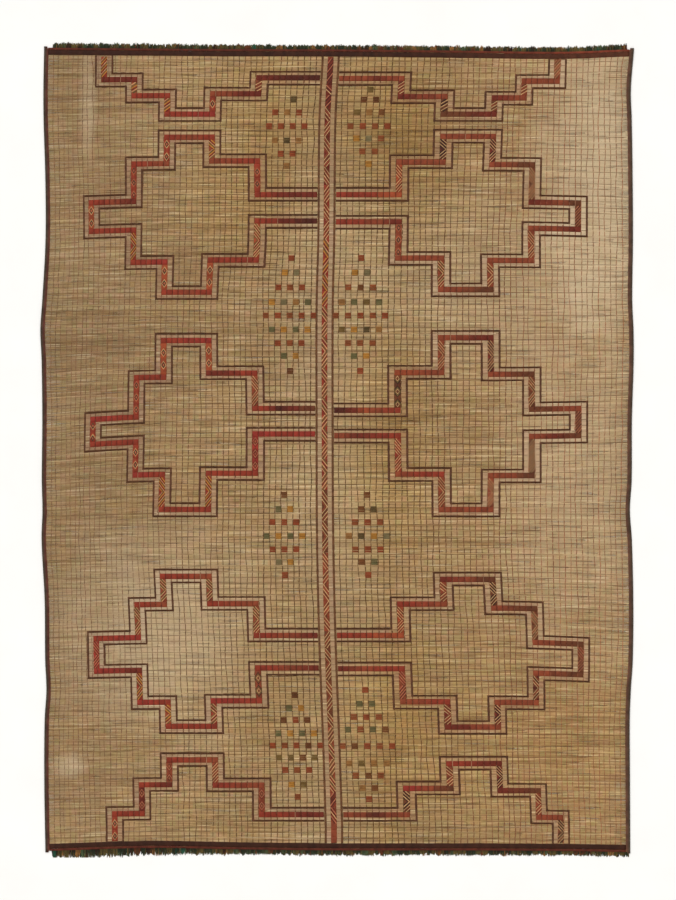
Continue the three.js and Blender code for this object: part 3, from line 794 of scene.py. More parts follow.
# %% Table of the loops
BAND_HALF = {"thongs": 0.54, "rise": 15.4}
LINE_OUT = {"thongs": 1.5, "rise": 38}
LINE_IN = {"thongs": 1.5, "rise": 34}
LINE_HALF = {"thongs": 0.175, "rise": 5.3}
BAND_START = 0.22
LOOPS = {
    "left_0": {"middle": 2194, "turns": (10.5, 18.5, 26.5, 32.5, 38), "below": (117, 206, 320, 216, 126)},
    "left_1": {"middle": 1352, "turns": (10.5, 18.5, 26.5, 32.5, 40.5),
               "above": (72, 260, 393, 245, 37), "below": (75, 293, 473, 304, 123)},
    "left_2": {"middle": 156, "turns": (10.5, 18.5, 26.5, 31.5, 39.5),
               "above": (73, 271, 453, 248, 28), "below": (69, 289, 491, 296, 111)},
    "left_3": {"middle": -1131, "turns": (10.5, 18.5, 26.5, 31.5, 39.2),
               "above": (92, 269, 422, 265, 81), "below": (90, 274, 416, 281, 102)},
    "left_4": {"middle": -2202, "turns": (10.5, 18.5, 26.5, 31.5, 36.5), "above": (162, 326, 467, 329, 169)},
    "right_0": {"middle": 2194, "turns": (10.5, 17.5, 25.5, 30.7, 36.5), "below": (120, 221, 320, 229, 136)},
    "right_1": {"middle": 1348, "turns": (10.5, 17.5, 25.5, 32.5, 40.5),
                "above": (76, 258, 401, 244, 36), "below": (76, 278, 454, 291, 110)},
    "right_2": {"middle": 149, "turns": (10.5, 17.5, 25.5, 32.5, 40.5),
                "above": (70, 281, 476, 271, 74), "below": (72, 287, 485, 295, 77)},
    "right_3": {"middle": -1132, "turns": (10.5, 17.5, 25.5, 32.5, 40.5),
                "above": (93, 268, 406, 245, 57), "below": (93, 278, 419, 281, 115)},
    "right_4": {"middle": -2202, "turns": (10.5, 17.5, 25.5, 32.5, 36.5), "above": (161, 308, 447, 296, 148)},
}


def side_of(name):
    return -1 if name.startswith("left") else 1


def loop_path(name):
    """The corners of a loop's middle line, as thong numbers and rises."""
    loop, side = LOOPS[name], side_of(name)
    across = [side * (SPINE_HALF + turn) for turn in loop["turns"]]
    start = side * (SPINE_HALF + BAND_START)

    def half(levels):
        corners = []
        for i, level in enumerate(levels):
            corners += [(across[i - 1] if i else start, level), (across[i], level)]
        return corners

    at_end = [(across[-1], math.copysign(HALF_LENGTH, loop["middle"]))]
    above = half([loop["middle"] + d for d in loop["above"]]) if "above" in loop else at_end
    below = half([loop["middle"] - d for d in loop["below"]])[::-1] if "below" in loop else at_end
    return above + below


def outset(path, side, thongs, rise):
    """The path moved outwards: sideways where it rises, and up or down where it runs across."""
    moved = []
    for i, (at, level) in enumerate(path):
        new_at, new_level = at, level
        pairs = [(path[i - 1], path[i])] if i else []
        pairs += [(path[i], path[i + 1])] if i + 1 < len(path) else []
        for a, b in pairs:
            if a[1] == b[1]:
                new_level = level + side * rise * math.copysign(1, b[0] - a[0])
            else:
                new_at = at - side * thongs * math.copysign(1, b[1] - a[1])
        moved.append((new_at, new_level))
    return np.array(moved)


print("corners of the first whole loop:", len(loop_path("left_1")))

# %% [markdown]
# ### Pale reeds beside the bands
# The reeds that show between a band and its dark lines are fresher and paler than the rest. The gap between
# them is cut along the band's path into four-sided stretches, and short pale reeds fill each stretch from one
# edge to the other.

# %% Pale reeds
PALE_TOP, PALE_LOW, PALE_PITCH, PALE_STATIONS = 5.45, 4.3, 5.3, 4
PALE_SHADE = {"level": -0.6, "riser": -0.55, "spine": -0.7}
LEVEL_FROM = 1.6


def gap_quads(path, side, sign):
    """The stretches between a band and its outer line, or its inner line where sign is -1."""
    line = LINE_OUT if sign > 0 else LINE_IN
    near = outset(path, side, sign * (BAND_HALF["thongs"] + 0.03), sign * (BAND_HALF["rise"] + 0.8))
    far_thongs = line["thongs"] - LINE_HALF["thongs"] - 0.01
    far = outset(path, side, sign * far_thongs, sign * (line["rise"] - LINE_HALF["rise"] - 0.4))
    return [(near[i], near[i + 1], far[i + 1], far[i]) for i in range(len(path) - 1)]


def crossing(quad, value, axis):
    """Where a line enters a stretch and leaves it: a reed at a rise (axis 1), or a thong's tie (axis 0)."""
    found = []
    for a, b in zip(quad, quad[1:] + quad[:1]):
        if (a[axis] - value) * (b[axis] - value) < 0:
            share = (value - a[axis]) / (b[axis] - a[axis])
            found.append(a[1 - axis] + (b[1 - axis] - a[1 - axis]) * share)
    return sorted(found) if len(found) == 2 else None


def short_reeds(quads):
    """One row for each reed: from, to, rise and half height."""
    rows = []
    for quad in quads:
        rises = [corner[1] for corner in quad]
        low, high = min(rises), max(rises)
        count = max(1, round((high - low) / PALE_PITCH))
        half = (high - low) / count / 2
        for k in range(count):
            ends = crossing(quad, low + (2 * k + 1) * half, 1)
            if ends and ends[1] - ends[0] > 0.05:
                rows.append((ends[0], ends[1], low + (2 * k + 1) * half, half * 0.97))
    return np.array(rows)


def reeds_from(rows, name):
    t = np.linspace(0, 1, PALE_STATIONS)
    thong = rows[:, :1] + (rows[:, 1:2] - rows[:, :1]) * t
    across, up = on_mat(thong, rows[:, 2:3])
    half = rows[:, 3:4, None] * np.array([-1.0, 0.0, 1.0])
    tall = np.array([PALE_LOW, PALE_TOP, PALE_LOW]) + chance.uniform(-0.12, 0.12, (len(rows), 1, 1))
    points = points_of(across[..., None], up[..., None] + half, tall)
    faces = grid_faces(len(rows), PALE_STATIONS, 3)[:, ::-1]
    base = np.where(rows[:, 1] - rows[:, 0] > LEVEL_FROM, PALE_SHADE["level"], PALE_SHADE["riser"])
    base[np.abs(rows[:, :2]).max(1) < SPINE_HALF] = PALE_SHADE["spine"]
    shade = chance.random(len(rows)) * 0.5 + base
    stem = np.repeat(shade, PALE_STATIONS * 3)
    return make_piece(name, points, [faces], pale_reed, values={"stem": stem})


def spine_gap(side):
    """The stretches between the spine's band and its line, each from one bundle's middle to the next's."""
    near, far = sorted((side * (BAND_HALF["thongs"] + 0.03), side * (SPINE_HALF - 0.2)))
    middles = (BUNDLE_EDGES[1:] + BUNDLE_EDGES[:-1]) / 2
    inside = middles[np.abs(middles) < HALF_LENGTH - 30]
    return [((near, a), (far, a), (far, b), (near, b)) for a, b in zip(inside[:-1], inside[1:])]


def gaps_of(side):
    quads = []
    for loop in LOOPS:
        if side_of(loop) == side:
            quads += gap_quads(loop_path(loop), side, 1) + gap_quads(loop_path(loop), side, -1)
    return quads


pale = []
for place, side in (("left", -1), ("right", 1)):
    rows = short_reeds(gaps_of(side) + spine_gap(side))
    pale.append(settle(reeds_from(rows, f"pale_reeds_{place}"), "reed", "reed_field"))
print("pale reeds:", sum(triangles[p.name] for p in pale))

# %% [markdown]
# ### Ties
# The thongs and threads go on over the pale reeds and between the band's cells. There each shows as a short
# tie: an upright one at every thong where the band runs across, and a level one at every bundle where it
# rises.

# %% Ties over the pale reeds and the bands
TIE_TOP, BAND_TIE_TOP, GAP_HIGH, PALE_TIES = 6.1, 6.5, 28, 0.05
TIE_DYES = {"upright": (122, 80, 58), "level": (124, 90, 62), "band": (88, 34, 28), "pale": (168, 122, 92)}


def ties_in(quads):
    """One row for each tie: its two ends as thong and rise, half width, top and dye."""
    rows = []
    for quad in quads:
        thongs, rises = [c[0] for c in quad], [c[1] for c in quad]
        if abs(quad[0][1] - quad[1][1]) < 1 and max(rises) - min(rises) < GAP_HIGH:
            for mark in np.arange(math.floor(min(thongs)) + 0.5, max(thongs), 1.0):
                ends = crossing(quad, mark, 0)
                if ends:
                    rows.append((mark, ends[0], mark, ends[1], chance.uniform(1.2, 1.8), TIE_TOP, "upright"))
        else:
            for mark in BUNDLE_EDGES[(BUNDLE_EDGES > min(rises)) & (BUNDLE_EDGES < max(rises))]:
                ends = crossing(quad, mark, 1)
                if ends and ends[1] - ends[0] > 0.1:
                    rows.append((ends[0], mark, ends[1], mark, chance.uniform(1.0, 1.5), TIE_TOP, "level"))
    return rows


def ties_on_bands(side):
    rows = []
    for loop in LOOPS:
        if side_of(loop) != side:
            continue
        path = loop_path(loop)
        for (at, level), (to, end_level) in zip(path[:-1], path[1:]):
            if level == end_level:
                for mark in np.arange(math.floor(min(at, to)) + 0.5, max(at, to) + 0.5, 1.0):
                    foot, top = level - BAND_HALF["rise"], level + BAND_HALF["rise"]
                    kind = "pale" if chance.random() < PALE_TIES else "band"
                    rows.append((mark, foot, mark, top, chance.uniform(0.9, 1.5), BAND_TIE_TOP, kind))
    return rows


def ties(name, rows):
    ends = np.array([row[:6] for row in rows], float)
    t = np.array([0.0, 0.5, 1.0])
    thong = ends[:, 0:1] + (ends[:, 2:3] - ends[:, 0:1]) * t
    rise = ends[:, 1:2] + (ends[:, 3:4] - ends[:, 1:2]) * t
    across, up = on_mat(thong, rise)
    upright = (ends[:, 0] == ends[:, 2])[:, None, None]
    aside = ends[:, 4, None, None] * np.array([-1.0, 0.0, 1.0])
    xs = across[..., None] + np.where(upright, aside, 0)
    ys = up[..., None] - np.where(upright, 0, aside)
    zs = ends[:, 5, None, None] - np.array([0.8, 0.0, 0.8])
    dye = np.concatenate([linear(TIE_DYES[row[6]])[None] * chance.uniform(0.75, 1.25) for row in rows])
    return make_piece(name, points_of(xs, ys, zs), [grid_faces(len(rows), 3, 3)], thong_leather,
                      dye=np.repeat(dye, 9, axis=0))


tie_pieces = []
for place, side in (("left", -1), ("right", 1)):
    rows = ties_in(gaps_of(side) + spine_gap(side)) + ties_on_bands(side)
    tie_pieces.append(settle(ties(f"ties_{place}", rows), "dark_leather", "reed_field"))
print("ties:", [triangles[p.name] for p in tie_pieces])

# %% [markdown]
# ### Dark lines
# A dark strip of twisted leather runs along both sides of every band, and along both sides of the spine. It
# is low and round on the reeds, with small swellings where thongs tie it down. Its section is an arch of five
# points that follows the path between an outer and an inner edge.

# %% Lines of dark leather
ARCH_AT = np.array([0.0, 0.14, 0.5, 0.86, 1.0])
ARCH_HIGH = np.array([0.0, 0.72, 1.0, 0.72, 0.0])
LINE_LOW, LINE_TOP, LINE_STEP = 4.0, 6.9, 15
SPINE_LINE_HALF, SPINE_LINE_MARKS = 0.19, 60
LEVEL_AND_RISING = (72, 40, 17), (84, 50, 31)
THONG_APART = 33
SPINE_LINE_DYE = (98, 62, 36)


def stepped(path_a, path_b, step):
    """Points along two edges that run side by side, a step apart at most."""
    a, b = [], []
    for i in range(len(path_a) - 1):
        ax, ay = on_mat(*path_a[i])
        bx, by = on_mat(*path_a[i + 1])
        parts = max(1, round(math.hypot(bx - ax, by - ay) / step))
        t = np.linspace(0, 1, parts, endpoint=False)[:, None]
        a.append(path_a[i] + t * (path_a[i + 1] - path_a[i]))
        b.append(path_b[i] + t * (path_b[i + 1] - path_b[i]))
    a.append(path_a[-1:])
    b.append(path_b[-1:])
    return np.concatenate(a), np.concatenate(b)


def arched_strip(name, edge_a, edge_b, dyes, lengths=1):
    """dyes holds the dye where the strip lies level and the dye where it rises."""
    a, b = stepped(edge_a, edge_b, LINE_STEP)
    count = len(a)
    swell = 1 + 0.1 * np.sin(np.arange(count) * 2.1) + chance.normal(0, 0.05, count)
    middle = (a + b) / 2
    ahead = np.abs(np.diff(middle, axis=0, append=2 * middle[-1:] - middle[-2:-1]))
    rising = (ahead[:, 1] > ahead[:, 0] * THONG_APART)[:, None]
    a, b = middle + (a - middle) * swell[:, None], middle + (b - middle) * swell[:, None]
    thong = a[:, :1] + (b - a)[:, :1] * ARCH_AT
    rise = a[:, 1:] + (b - a)[:, 1:] * ARCH_AT
    across, up = on_mat(thong, rise)
    tall = LINE_LOW + (LINE_TOP - LINE_LOW) * ARCH_HIGH * (0.92 + 0.08 * swell[:, None])
    faces = grid_faces(1, count, len(ARCH_AT))
    wide, ahead_of_it = b[0] - a[0], a[min(3, count - 1)] - a[0]
    looks_up = wide[0] * ahead_of_it[1] > wide[1] * ahead_of_it[0]
    faces = faces if looks_up else faces[:, ::-1]
    level_dye, rising_dye = (linear(colour)[None] for colour in dyes)
    colours = np.where(rising, rising_dye, level_dye) * chance.uniform(0.8, 1.25, (count, 1))
    colours = np.repeat(colours, len(ARCH_AT), axis=0)
    return make_piece(name, points_of(across, up, tall), [faces], line_leather, dye=colours, lengths=lengths)


def path_line(name, path, side, middle, sign, dyes):
    inner = [sign * (middle[k] - LINE_HALF[k]) for k in ("thongs", "rise")]
    outer = [sign * (middle[k] + LINE_HALF[k]) for k in ("thongs", "rise")]
    return arched_strip(name, outset(path, side, *outer), outset(path, side, *inner), dyes)


lines = []
for loop in LOOPS:
    path, side = loop_path(loop), side_of(loop)
    for place, middle, sign in (("out", LINE_OUT, 1), ("in", LINE_IN, -1)):
        node_name = f"loop_{loop}_line_{place}"
        piece = path_line(f"{node_name}_cord", path, side, middle, sign, LEVEL_AND_RISING)
        lines.append(settle(piece, "dark_leather", node_name))
for place, side in (("left", -1), ("right", 1)):
    rises = np.linspace(-HALF_LENGTH, HALF_LENGTH, SPINE_LINE_MARKS)
    thong_edges = [side * SPINE_HALF + way * SPINE_LINE_HALF for way in (-1, 1)]
    edges = [np.stack([np.full(SPINE_LINE_MARKS, thong), rises], 1) for thong in thong_edges]
    piece = arched_strip(f"spine_line_{place}_cord", *edges, (SPINE_LINE_DYE, SPINE_LINE_DYE), lengths=24)
    lines.append(settle(piece, "dark_leather", f"spine_line_{place}"))
print("lines:", len(lines), "with triangles", sum(triangles[p.name] for p in lines))

# %% [markdown]
# ### Cells of leather
# Where a band runs across the mat, red leather fills one bundle's height between two thongs, again and again.
# A cell is a low cushion: a small grid of points that is flat in the middle and drops at its rim, so that the
# thong shows between one cell and the next. Cells are worked out all at once from their corners on the grid.

# %% Cushions between the thongs
CELL_AT = np.array([0.0, 0.05, 0.3, 0.7, 0.95, 1.0])
CELL_RIM = np.array([0.0, 0.78, 1.0, 1.0, 0.78, 0.0])
CELL_LOW, CELL_TOP, THONG_ROOM = 4.2, 6.6, 0.035


def cushions(from_thong, to_thong, from_rise, to_rise, tops):
    """Points and faces of cushions that reach from thong to thong and from rise to rise."""
    from_thong, to_thong, from_rise, to_rise, tops = (
        np.asarray(v, float)[:, None, None] for v in (from_thong, to_thong, from_rise, to_rise, tops))
    thong = from_thong + (to_thong - from_thong) * CELL_AT[None, None, :]
    rise = from_rise + (to_rise - from_rise) * CELL_AT[None, :, None]
    thong, rise = np.broadcast_arrays(thong, rise)
    across, up = on_mat(thong, rise)
    tall = CELL_LOW + (tops - CELL_LOW) * np.minimum(CELL_RIM[None, :, None], CELL_RIM[None, None, :])
    return points_of(across, up, tall), grid_faces(len(across), len(CELL_AT), len(CELL_AT)), len(CELL_AT) ** 2


def level_cells(path):
    """Each level stretch of a band as cells: its number, from, to, rise and how far along the cell is."""
    cells = []
    spine_end = SPINE_HALF + BAND_START
    stretch = 0
    for (at, level), (to, end_level) in zip(path[:-1], path[1:]):
        if level != end_level:
            continue
        low, high = sorted((at, to))
        low -= 0 if abs(abs(low) - spine_end) < 0.01 else BAND_HALF["thongs"]
        high += 0 if abs(abs(high) - spine_end) < 0.01 else BAND_HALF["thongs"]
        inner = np.arange(math.floor(low) + 0.5, high + 1, 1.0)
        marks = [low, *[m for m in inner if low + 0.2 < m < high - 0.2], high]
        for a, b in zip(marks[:-1], marks[1:]):
            share = ((a + b) / 2 - at) / (to - at)
            cells.append((stretch, a + THONG_ROOM, b - THONG_ROOM, level, min(max(share, 0), 0.999)))
        stretch += 1
    return cells


print("level cells of one loop:", len(level_cells(loop_path("left_1"))))

# %% [markdown]
# ### Laced risers
# Where a band runs up the mat it is laced with narrow strands of several colours. In one pattern, blocks of
# slanted strands lean one way and the other by turns, and leave plain triangles at the edges. In the other,
# strands meet in the middle of the band, as nested diamonds. Every strand is a thin arched strip that reaches
# from a place on one edge to a place on the other, and is shorter beside a plain triangle.

# %% Strands
STRAND_STATIONS = 4
STRAND_LOW, STRAND_TOP, PLATE_TOP = 5.4, 7.1, 6.0
STRAND_PITCH, SLANT, RING_SLANT, SHORTEST = 9.2, 44, 24, 0.5
LIGHT_DYES = ("cream", "pink", "tan", "grey")
LIGHT_HALF, RING_LIGHT_HALF, DARK_HALF = 0.3, 0.34, 0.48


def strand_share(dye, light_half):
    """A strand's half width as a share of the pitch. Light strands are cut narrower than dark ones."""
    return light_half if dye in LIGHT_DYES else DARK_HALF


def strand_points(centre, half_thongs, strands):
    """strands is a list of (from, to, rise_from, rise_to, half_width): places across from -1 to 1."""
    rows = np.array(strands, float)
    t = np.linspace(0, 1, STRAND_STATIONS)
    place = rows[:, :1] + (rows[:, 1:2] - rows[:, :1]) * t
    rise = rows[:, 2:3] + (rows[:, 3:4] - rows[:, 2:3]) * t
    half = rows[:, 4:5]
    thong = np.broadcast_to((centre + half_thongs * place)[..., None], (*place.shape, 3))
    rises = np.stack([rise - half, rise, rise + half], -1)
    across, up = on_mat(thong, rises)
    arch = (1 - 0.35 * place**4)[..., None]
    tall = STRAND_LOW + (STRAND_TOP - STRAND_LOW) * np.array([0.0, 1.0, 0.0]) * arch
    forward = rows[:, 1] > rows[:, 0]
    faces = grid_faces(len(rows), STRAND_STATIONS, 3)
    turned = np.repeat(forward, 2 * (STRAND_STATIONS - 1))
    faces[turned] = faces[turned][:, ::-1]
    return points_of(across, up, tall), faces, STRAND_STATIONS * 3


def slanted(marks, charts, slant=SLANT, spacing=STRAND_PITCH):
    """Blocks of slanted strands between marks. A mark is a plain triangle's middle and the edge it is on."""
    strands, dyes = [], []
    for number, ((top, edge), (foot, _)) in enumerate(zip(marks[:-1], marks[1:])):
        chart = charts[number % len(charts)]
        full = top - foot - slant
        start, stop = -SHORTEST * slant, full + SHORTEST * slant
        count = max(1, round((stop - start) / spacing))
        pitch = (stop - start) / count
        for k in range(count):
            down = start + (k + 0.5) * pitch
            begin = max(0, -down / slant)
            end = min(1, 1 - (down - full) / slant)
            ends = [edge * (2 * share - 1) for share in (begin, end)]
            rises = [top - down - slant * share for share in (begin, end)]
            dyes.append(chart[k % len(chart)])
            strands.append((*ends, *rises, pitch * strand_share(dyes[-1], LIGHT_HALF)))
    return strands, dyes


def rings(low, high, chart, period):
    """Nested diamonds. The innermost dye comes first in the chart, and only whole strands are kept."""
    strands, dyes = [], []
    pitch = period / 2 / len(chart)
    count = max(1, round((high - low) / period))
    for number in range(count + 2):
        middle = (low + high) / 2 + (number - (count + 1) / 2) * period
        for k, dye in enumerate(chart):
            radius = (k + 0.5) * pitch
            reach = min(1.0, radius / RING_SLANT)
            half = pitch * strand_share(dye, RING_LIGHT_HALF)
            for side in (-1, 1):
                for way in (-1, 1):
                    tip, edge = middle + way * radius, middle + way * (radius - RING_SLANT * reach)
                    if low < min(tip, edge) and max(tip, edge) < high:
                        strands.append((0, side * reach, tip, edge, half))
                        dyes.append(dye)
    return strands, dyes


print("strands of one ring pattern:", len(rings(0, 170, ("red", "cream", "dark"), 40)[0]))

# %% [markdown]
# The laces are charted by name. Each chart lists the dyes of a block's strands from its top to its foot, or
# of a diamond's rings from its middle outwards.

# %% Charts of the laces
SLANTS = {
    "gold": (("gold", "dark_red", "cream", "olive"), ("cream", "olive", "gold", "dark_red")),
    "green": (("cream", "olive", "cream", "brown"), ("olive", "cream", "dark_red", "cream")),
    "cream": (("brick", "cream", "brown", "cream"), ("brown", "cream", "brick", "cream")),
    "wine": (("pink", "maroon", "dark_red", "maroon"), ("dark_red", "pink", "maroon", "cream")),
    "dark": (("cream", "dark", "cream", "dark"), ("dark", "cream", "dark", "cream", "brown", "cream")),
    "pink": (("pink", "dark_red", "pink", "brown"), ("pink", "maroon", "pink", "brown")),
}
RINGS = {
    "red": ("pink", "dark_green", "pink", "rust"),
    "gold": ("pink", "dark_green", "cream", "rust"),
    "fine": ("pink", "brown", "pink", "dark_red"),
    "olive": ("brown", "cream", "olive", "dark"),
}
RING_PERIOD = {"red": 68, "gold": 70, "fine": 68, "olive": 72}

# %% [markdown]
# The loops are charted in the order of their path: out along the upper half, round the tip and back along
# the lower half. A comma stands between one stretch and the next. Levels name the dyes along each level
# stretch. Risers name the plate's dye, the pattern and its chart.

# %% Charts of the loops
LEVELS = {
    "left_0": "dark_red, red, red crimson, brick dark_red, dark_red maroon maroon maroon",
    "left_1": (
        "dark_red dark_red red, red brick, red brick red, brick red, dark_red brick red, red, "
        "red crimson, red brick red, red, red dark_red maroon"),
    "left_2": (
        "brown dark_red maroon red, red dark_red, crimson red, red, red crimson, red, crimson red, red, "
        "red, crimson red crimson"),
    "left_3": (
        "dark_red brick red, brick red, brick red, brick red, crimson red, crimson dark_red, "
        "crimson red, red, crimson red, red brick dark_red"),
    "left_4": "dark_red red, brick red, brick red, dark_red red, red",
    "right_0": "brick, brick dark_red, dark_red brown, brick dark_red, brick dark_red brick brick",
    "right_1": (
        "red red rust, brick, brick, brick brown, dark_red brick brown, dark_red brick brick, "
        "brick brick, brown brick, brick, dark_red brick red red"),
    "right_2": (
        "maroon dark_red rust brick red, rust brick, brick dark_red, brick brown, brown brick, "
        "brown dark_red brick, brown brick brick, brick, red red brick, red dark_red brick"),
    "right_3": (
        "red rust, red brick, dark_red brick brown, brick brown, brick brown, brown brick, brick brick, "
        "brick dark_red, red brick, red red brick dark_red"),
    "right_4": "brick maroon brick, crimson brick brown, red dark_red, dark_red brown, brick",
}
RISERS = {
    "left_0": "red slant gold, rust slant gold, red slant gold, red rings gold, brick slant cream",
    "left_1": (
        "red rings red, brick slants gold, red rings gold, red rings red, rust rings gold, "
        "red slants gold, rust rings gold, rust rings gold, rust slants green"),
    "left_2": (
        "brick slants cream, rust rings gold, rust rings gold, red rings red, red rings gold, "
        "red rings gold, red slants gold, red slants gold, crimson rings fine"),
    "left_3": (
        "brick slants green, brick slants green, brick slants green, brick slants green, "
        "crimson slants pink, red slants gold, rust slants gold, red slants green, brick rings olive"),
    "left_4": (
        "brick rings fine, brick slant cream, brick rings fine, dark_red rings fine, red rings gold"),
    "right_0": (
        "brick slant cream, brick slant cream, brown slant cream, brown slant dark, dark_red slant cream"),
    "right_1": (
        "rust slants cream, maroon slants dark, dark_red slants dark, brown slants cream, "
        "brown slant pink, brick slants cream, brick slants cream, brick slants green, brick rings red"),
    "right_2": (
        "brown rings olive, brick slants cream, dark_red slants dark, brown slants cream, "
        "brown slant pink, brown slant dark, brick slants cream, brick slants cream, red slants cream"),
    "right_3": (
        "rust slants cream, brick slants cream, brown slants dark, brown slants cream, "
        "brown slants pink, maroon slants cream, dark_red slants dark, dark_red slants cream, "
        "brick slants pink"),
    "right_4": (
        "brown slants dark, brick slants cream, dark_red slants dark, brick slants cream, "
        "brown slants dark"),
}


def stretches(chart):
    return [stretch.split() for stretch in chart.split(",")]


print("level stretches charted:", sum(len(stretches(chart)) for chart in LEVELS.values()))


# %% [markdown]
# A band's mesh joins its level cells, the flat plates under its risers and the strands on them. The dye of a
# level stretch goes slowly from one charted dye to the next, as if one hide after another had been cut up.

# %% Bands of the loops
PLATE_STEP, END_ROOM, STRANDS_REACH = 40, 46, 0.97


class Heap:
    """Gathers points, faces and dyes of many small shapes for one mesh."""

    def __init__(self):
        self.points, self.faces, self.dyes, self.count = [], [], [], 0

    def add(self, points, faces, per_shape, names, worn=(0, (0, 0, 0))):
        """names are dyes in words, or colours. worn is how much of another colour shows through, and that."""
        self.points.append(points)
        self.faces.append(faces + self.count)
        if isinstance(names, np.ndarray):
            dyes = names
        else:
            dyes = np.concatenate([dyed(name) for name in names])
        dyes = dyes * (1 - worn[0]) + linear(worn[1]) * worn[0]
        self.dyes.append(np.repeat(dyes, per_shape, axis=0))
        self.count += len(points)

    def piece(self, name, material, **settings):
        dye = np.concatenate(self.dyes)
        faces = [np.concatenate(self.faces)]
        return make_piece(name, np.concatenate(self.points), faces, material, dye=dye, **settings)


def plate(heap, centre, half, low, high, name):
    """The flat leather under a riser's strands, in steps that follow the thongs' wander."""
    steps = max(1, round((high - low) / PLATE_STEP))
    marks = np.linspace(low, high, steps + 1)
    ones = np.ones(steps)
    sides = (centre - half) * ones, (centre + half) * ones
    heap.add(*cushions(*sides, marks[:-1] - 0.4, marks[1:] + 0.4, PLATE_TOP * ones), [name] * steps)


def lace_riser(heap, centre, low, high, plate_dye, pattern, chart):
    """Rings, a block that slants one way, or two blocks that slant to meet, over a plate."""
    half = BAND_HALF["thongs"]
    plate(heap, centre, half, low, high, plate_dye)
    slant = min(SLANT, (high - low) / 3.6)
    if pattern == "rings":
        strands, dyes = rings(low, high, RINGS[chart], RING_PERIOD[chart])
    elif pattern == "slant":
        strands, dyes = slanted([(high, -1), (low, 1)], SLANTS[chart][1:], min(SLANT, (high - low) / 3))
    else:
        marks = [(high, 1), ((low + high) / 2, -1), (low, 1)]
        strands, dyes = slanted(marks, SLANTS[chart], slant)
    if strands:
        heap.add(*strand_points(centre, half * STRANDS_REACH, strands), dyes)


def loop_band(name):
    path = loop_path(name)
    heap = Heap()
    cells = level_cells(path)
    stretch, a, b, level, share = (np.array(v) for v in zip(*cells))
    tops = CELL_TOP + chance.uniform(-0.25, 0.25, len(cells))
    colours = []
    charted = stretches(LEVELS[name])
    for number, along_it in zip(stretch, share):
        dyes = np.array([linear(DYES[word]) for word in charted[number]])
        place = along_it * len(dyes) - 0.5 + chance.uniform(-0.3, 0.3)
        blended = [np.interp(place, np.arange(len(dyes)), dyes[:, k]) for k in range(3)]
        colours.append(np.array(blended) * chance.uniform(0.88, 1.1))
    reach = level - BAND_HALF["rise"], level + BAND_HALF["rise"]
    heap.add(*cushions(a, b, *reach, tops), np.array(colours))
    risers = [(p, q) for p, q in zip(path[:-1], path[1:]) if p[1] != q[1]]
    for ((at, start), (_, stop)), words in zip(risers, stretches(RISERS[name])):
        low, high = sorted((start, stop))
        open_ends = [abs(rise) == HALF_LENGTH for rise in (low, high)]
        low += 0 if open_ends[0] else BAND_HALF["rise"]
        high -= 0 if open_ends[1] else BAND_HALF["rise"]
        low, high = max(low, END_ROOM - HALF_LENGTH), min(high, HALF_LENGTH - END_ROOM)
        lace_riser(heap, at, low, high, *words)
    return heap.piece(f"loop_{name}_band_laced", laced_leather)


bands = [settle(loop_band(name), "red_leather", f"loop_{name}_band") for name in LOOPS]
print("bands:", len(bands), "with triangles", sum(triangles[p.name] for p in bands))

# %% [markdown]
# ### The spine
# The spine is one long riser up the whole mat. Its plain triangles stand by turns at the right and the left
# edge, a hand's breadth apart. Its colours change on the way: dark red and pink at the top, gold and olive
# above the middle, brown with cream below it, and dark red again at the foot. Its strands are a little wider
# than those of the loops.

# %% Spine band
TRIANGLES_RIGHT = (2038, 1912, 1747, 1579, 1378, 1177, 979, 799, 628, 457, 286, 118, -53, -226, -398,
                   -576, -754, -932, -1110, -1288, -1466, -1644, -1822, -2000, -2178)
TOP_TRIANGLE_LEFT = 2186
SPINE_PITCH = 12.5
SPINE_STRETCHES = (
    (1950, "dark_red", "wine"),
    (1560, "dark_red", "cream"),
    (1250, "red", "cream"),
    (820, "red", "gold"),
    (300, "red", "green"),
    (-180, "red", "green"),
    (-520, "brown", "cream"),
    (-1000, "brick", "cream"),
    (-1500, "brown", "cream"),
    (-1900, "brick", "green"),
    (-2241, "brick", "wine"),
)
spine_marks = [(TOP_TRIANGLE_LEFT, -1)]
for top, foot in zip(TRIANGLES_RIGHT, TRIANGLES_RIGHT[1:]):
    spine_marks += [(top, 1), ((top + foot) / 2 + chance.uniform(-8, 8), -1)]
spine_heap = Heap()
for mark, following in zip(spine_marks[:-1], spine_marks[1:]):
    top, foot = mark[0], following[0]
    _, plate_dye, chart = next(s for s in SPINE_STRETCHES if top >= s[0])
    plate(spine_heap, 0, BAND_HALF["thongs"], foot, top, plate_dye)
    slant = min(SLANT, (top - foot) / 2)
    strands, dyes = slanted([mark, following], [SLANTS[chart][mark[1] > 0]], slant, SPINE_PITCH)
    spine_heap.add(*strand_points(0, BAND_HALF["thongs"] * STRANDS_REACH, strands), dyes)
for top, foot in ((HALF_LENGTH, TOP_TRIANGLE_LEFT), (spine_marks[-1][0], -HALF_LENGTH)):
    plate(spine_heap, 0, BAND_HALF["thongs"], foot, top, "brick")
spine = settle(spine_heap.piece("spine_band_laced", laced_leather, lengths=24), "red_leather", "spine_band")
print("spine triangles:", triangles[spine.name])

# %% [markdown]
# ## Small squares
# Eight groups of small leather squares stand beside the spine, in rows that widen to the middle like
# diamonds. Each square fills one cell between two thongs. A group is charted by its rows: how far up the mat,
# a shift in cells, and the dyes in words from left to right.

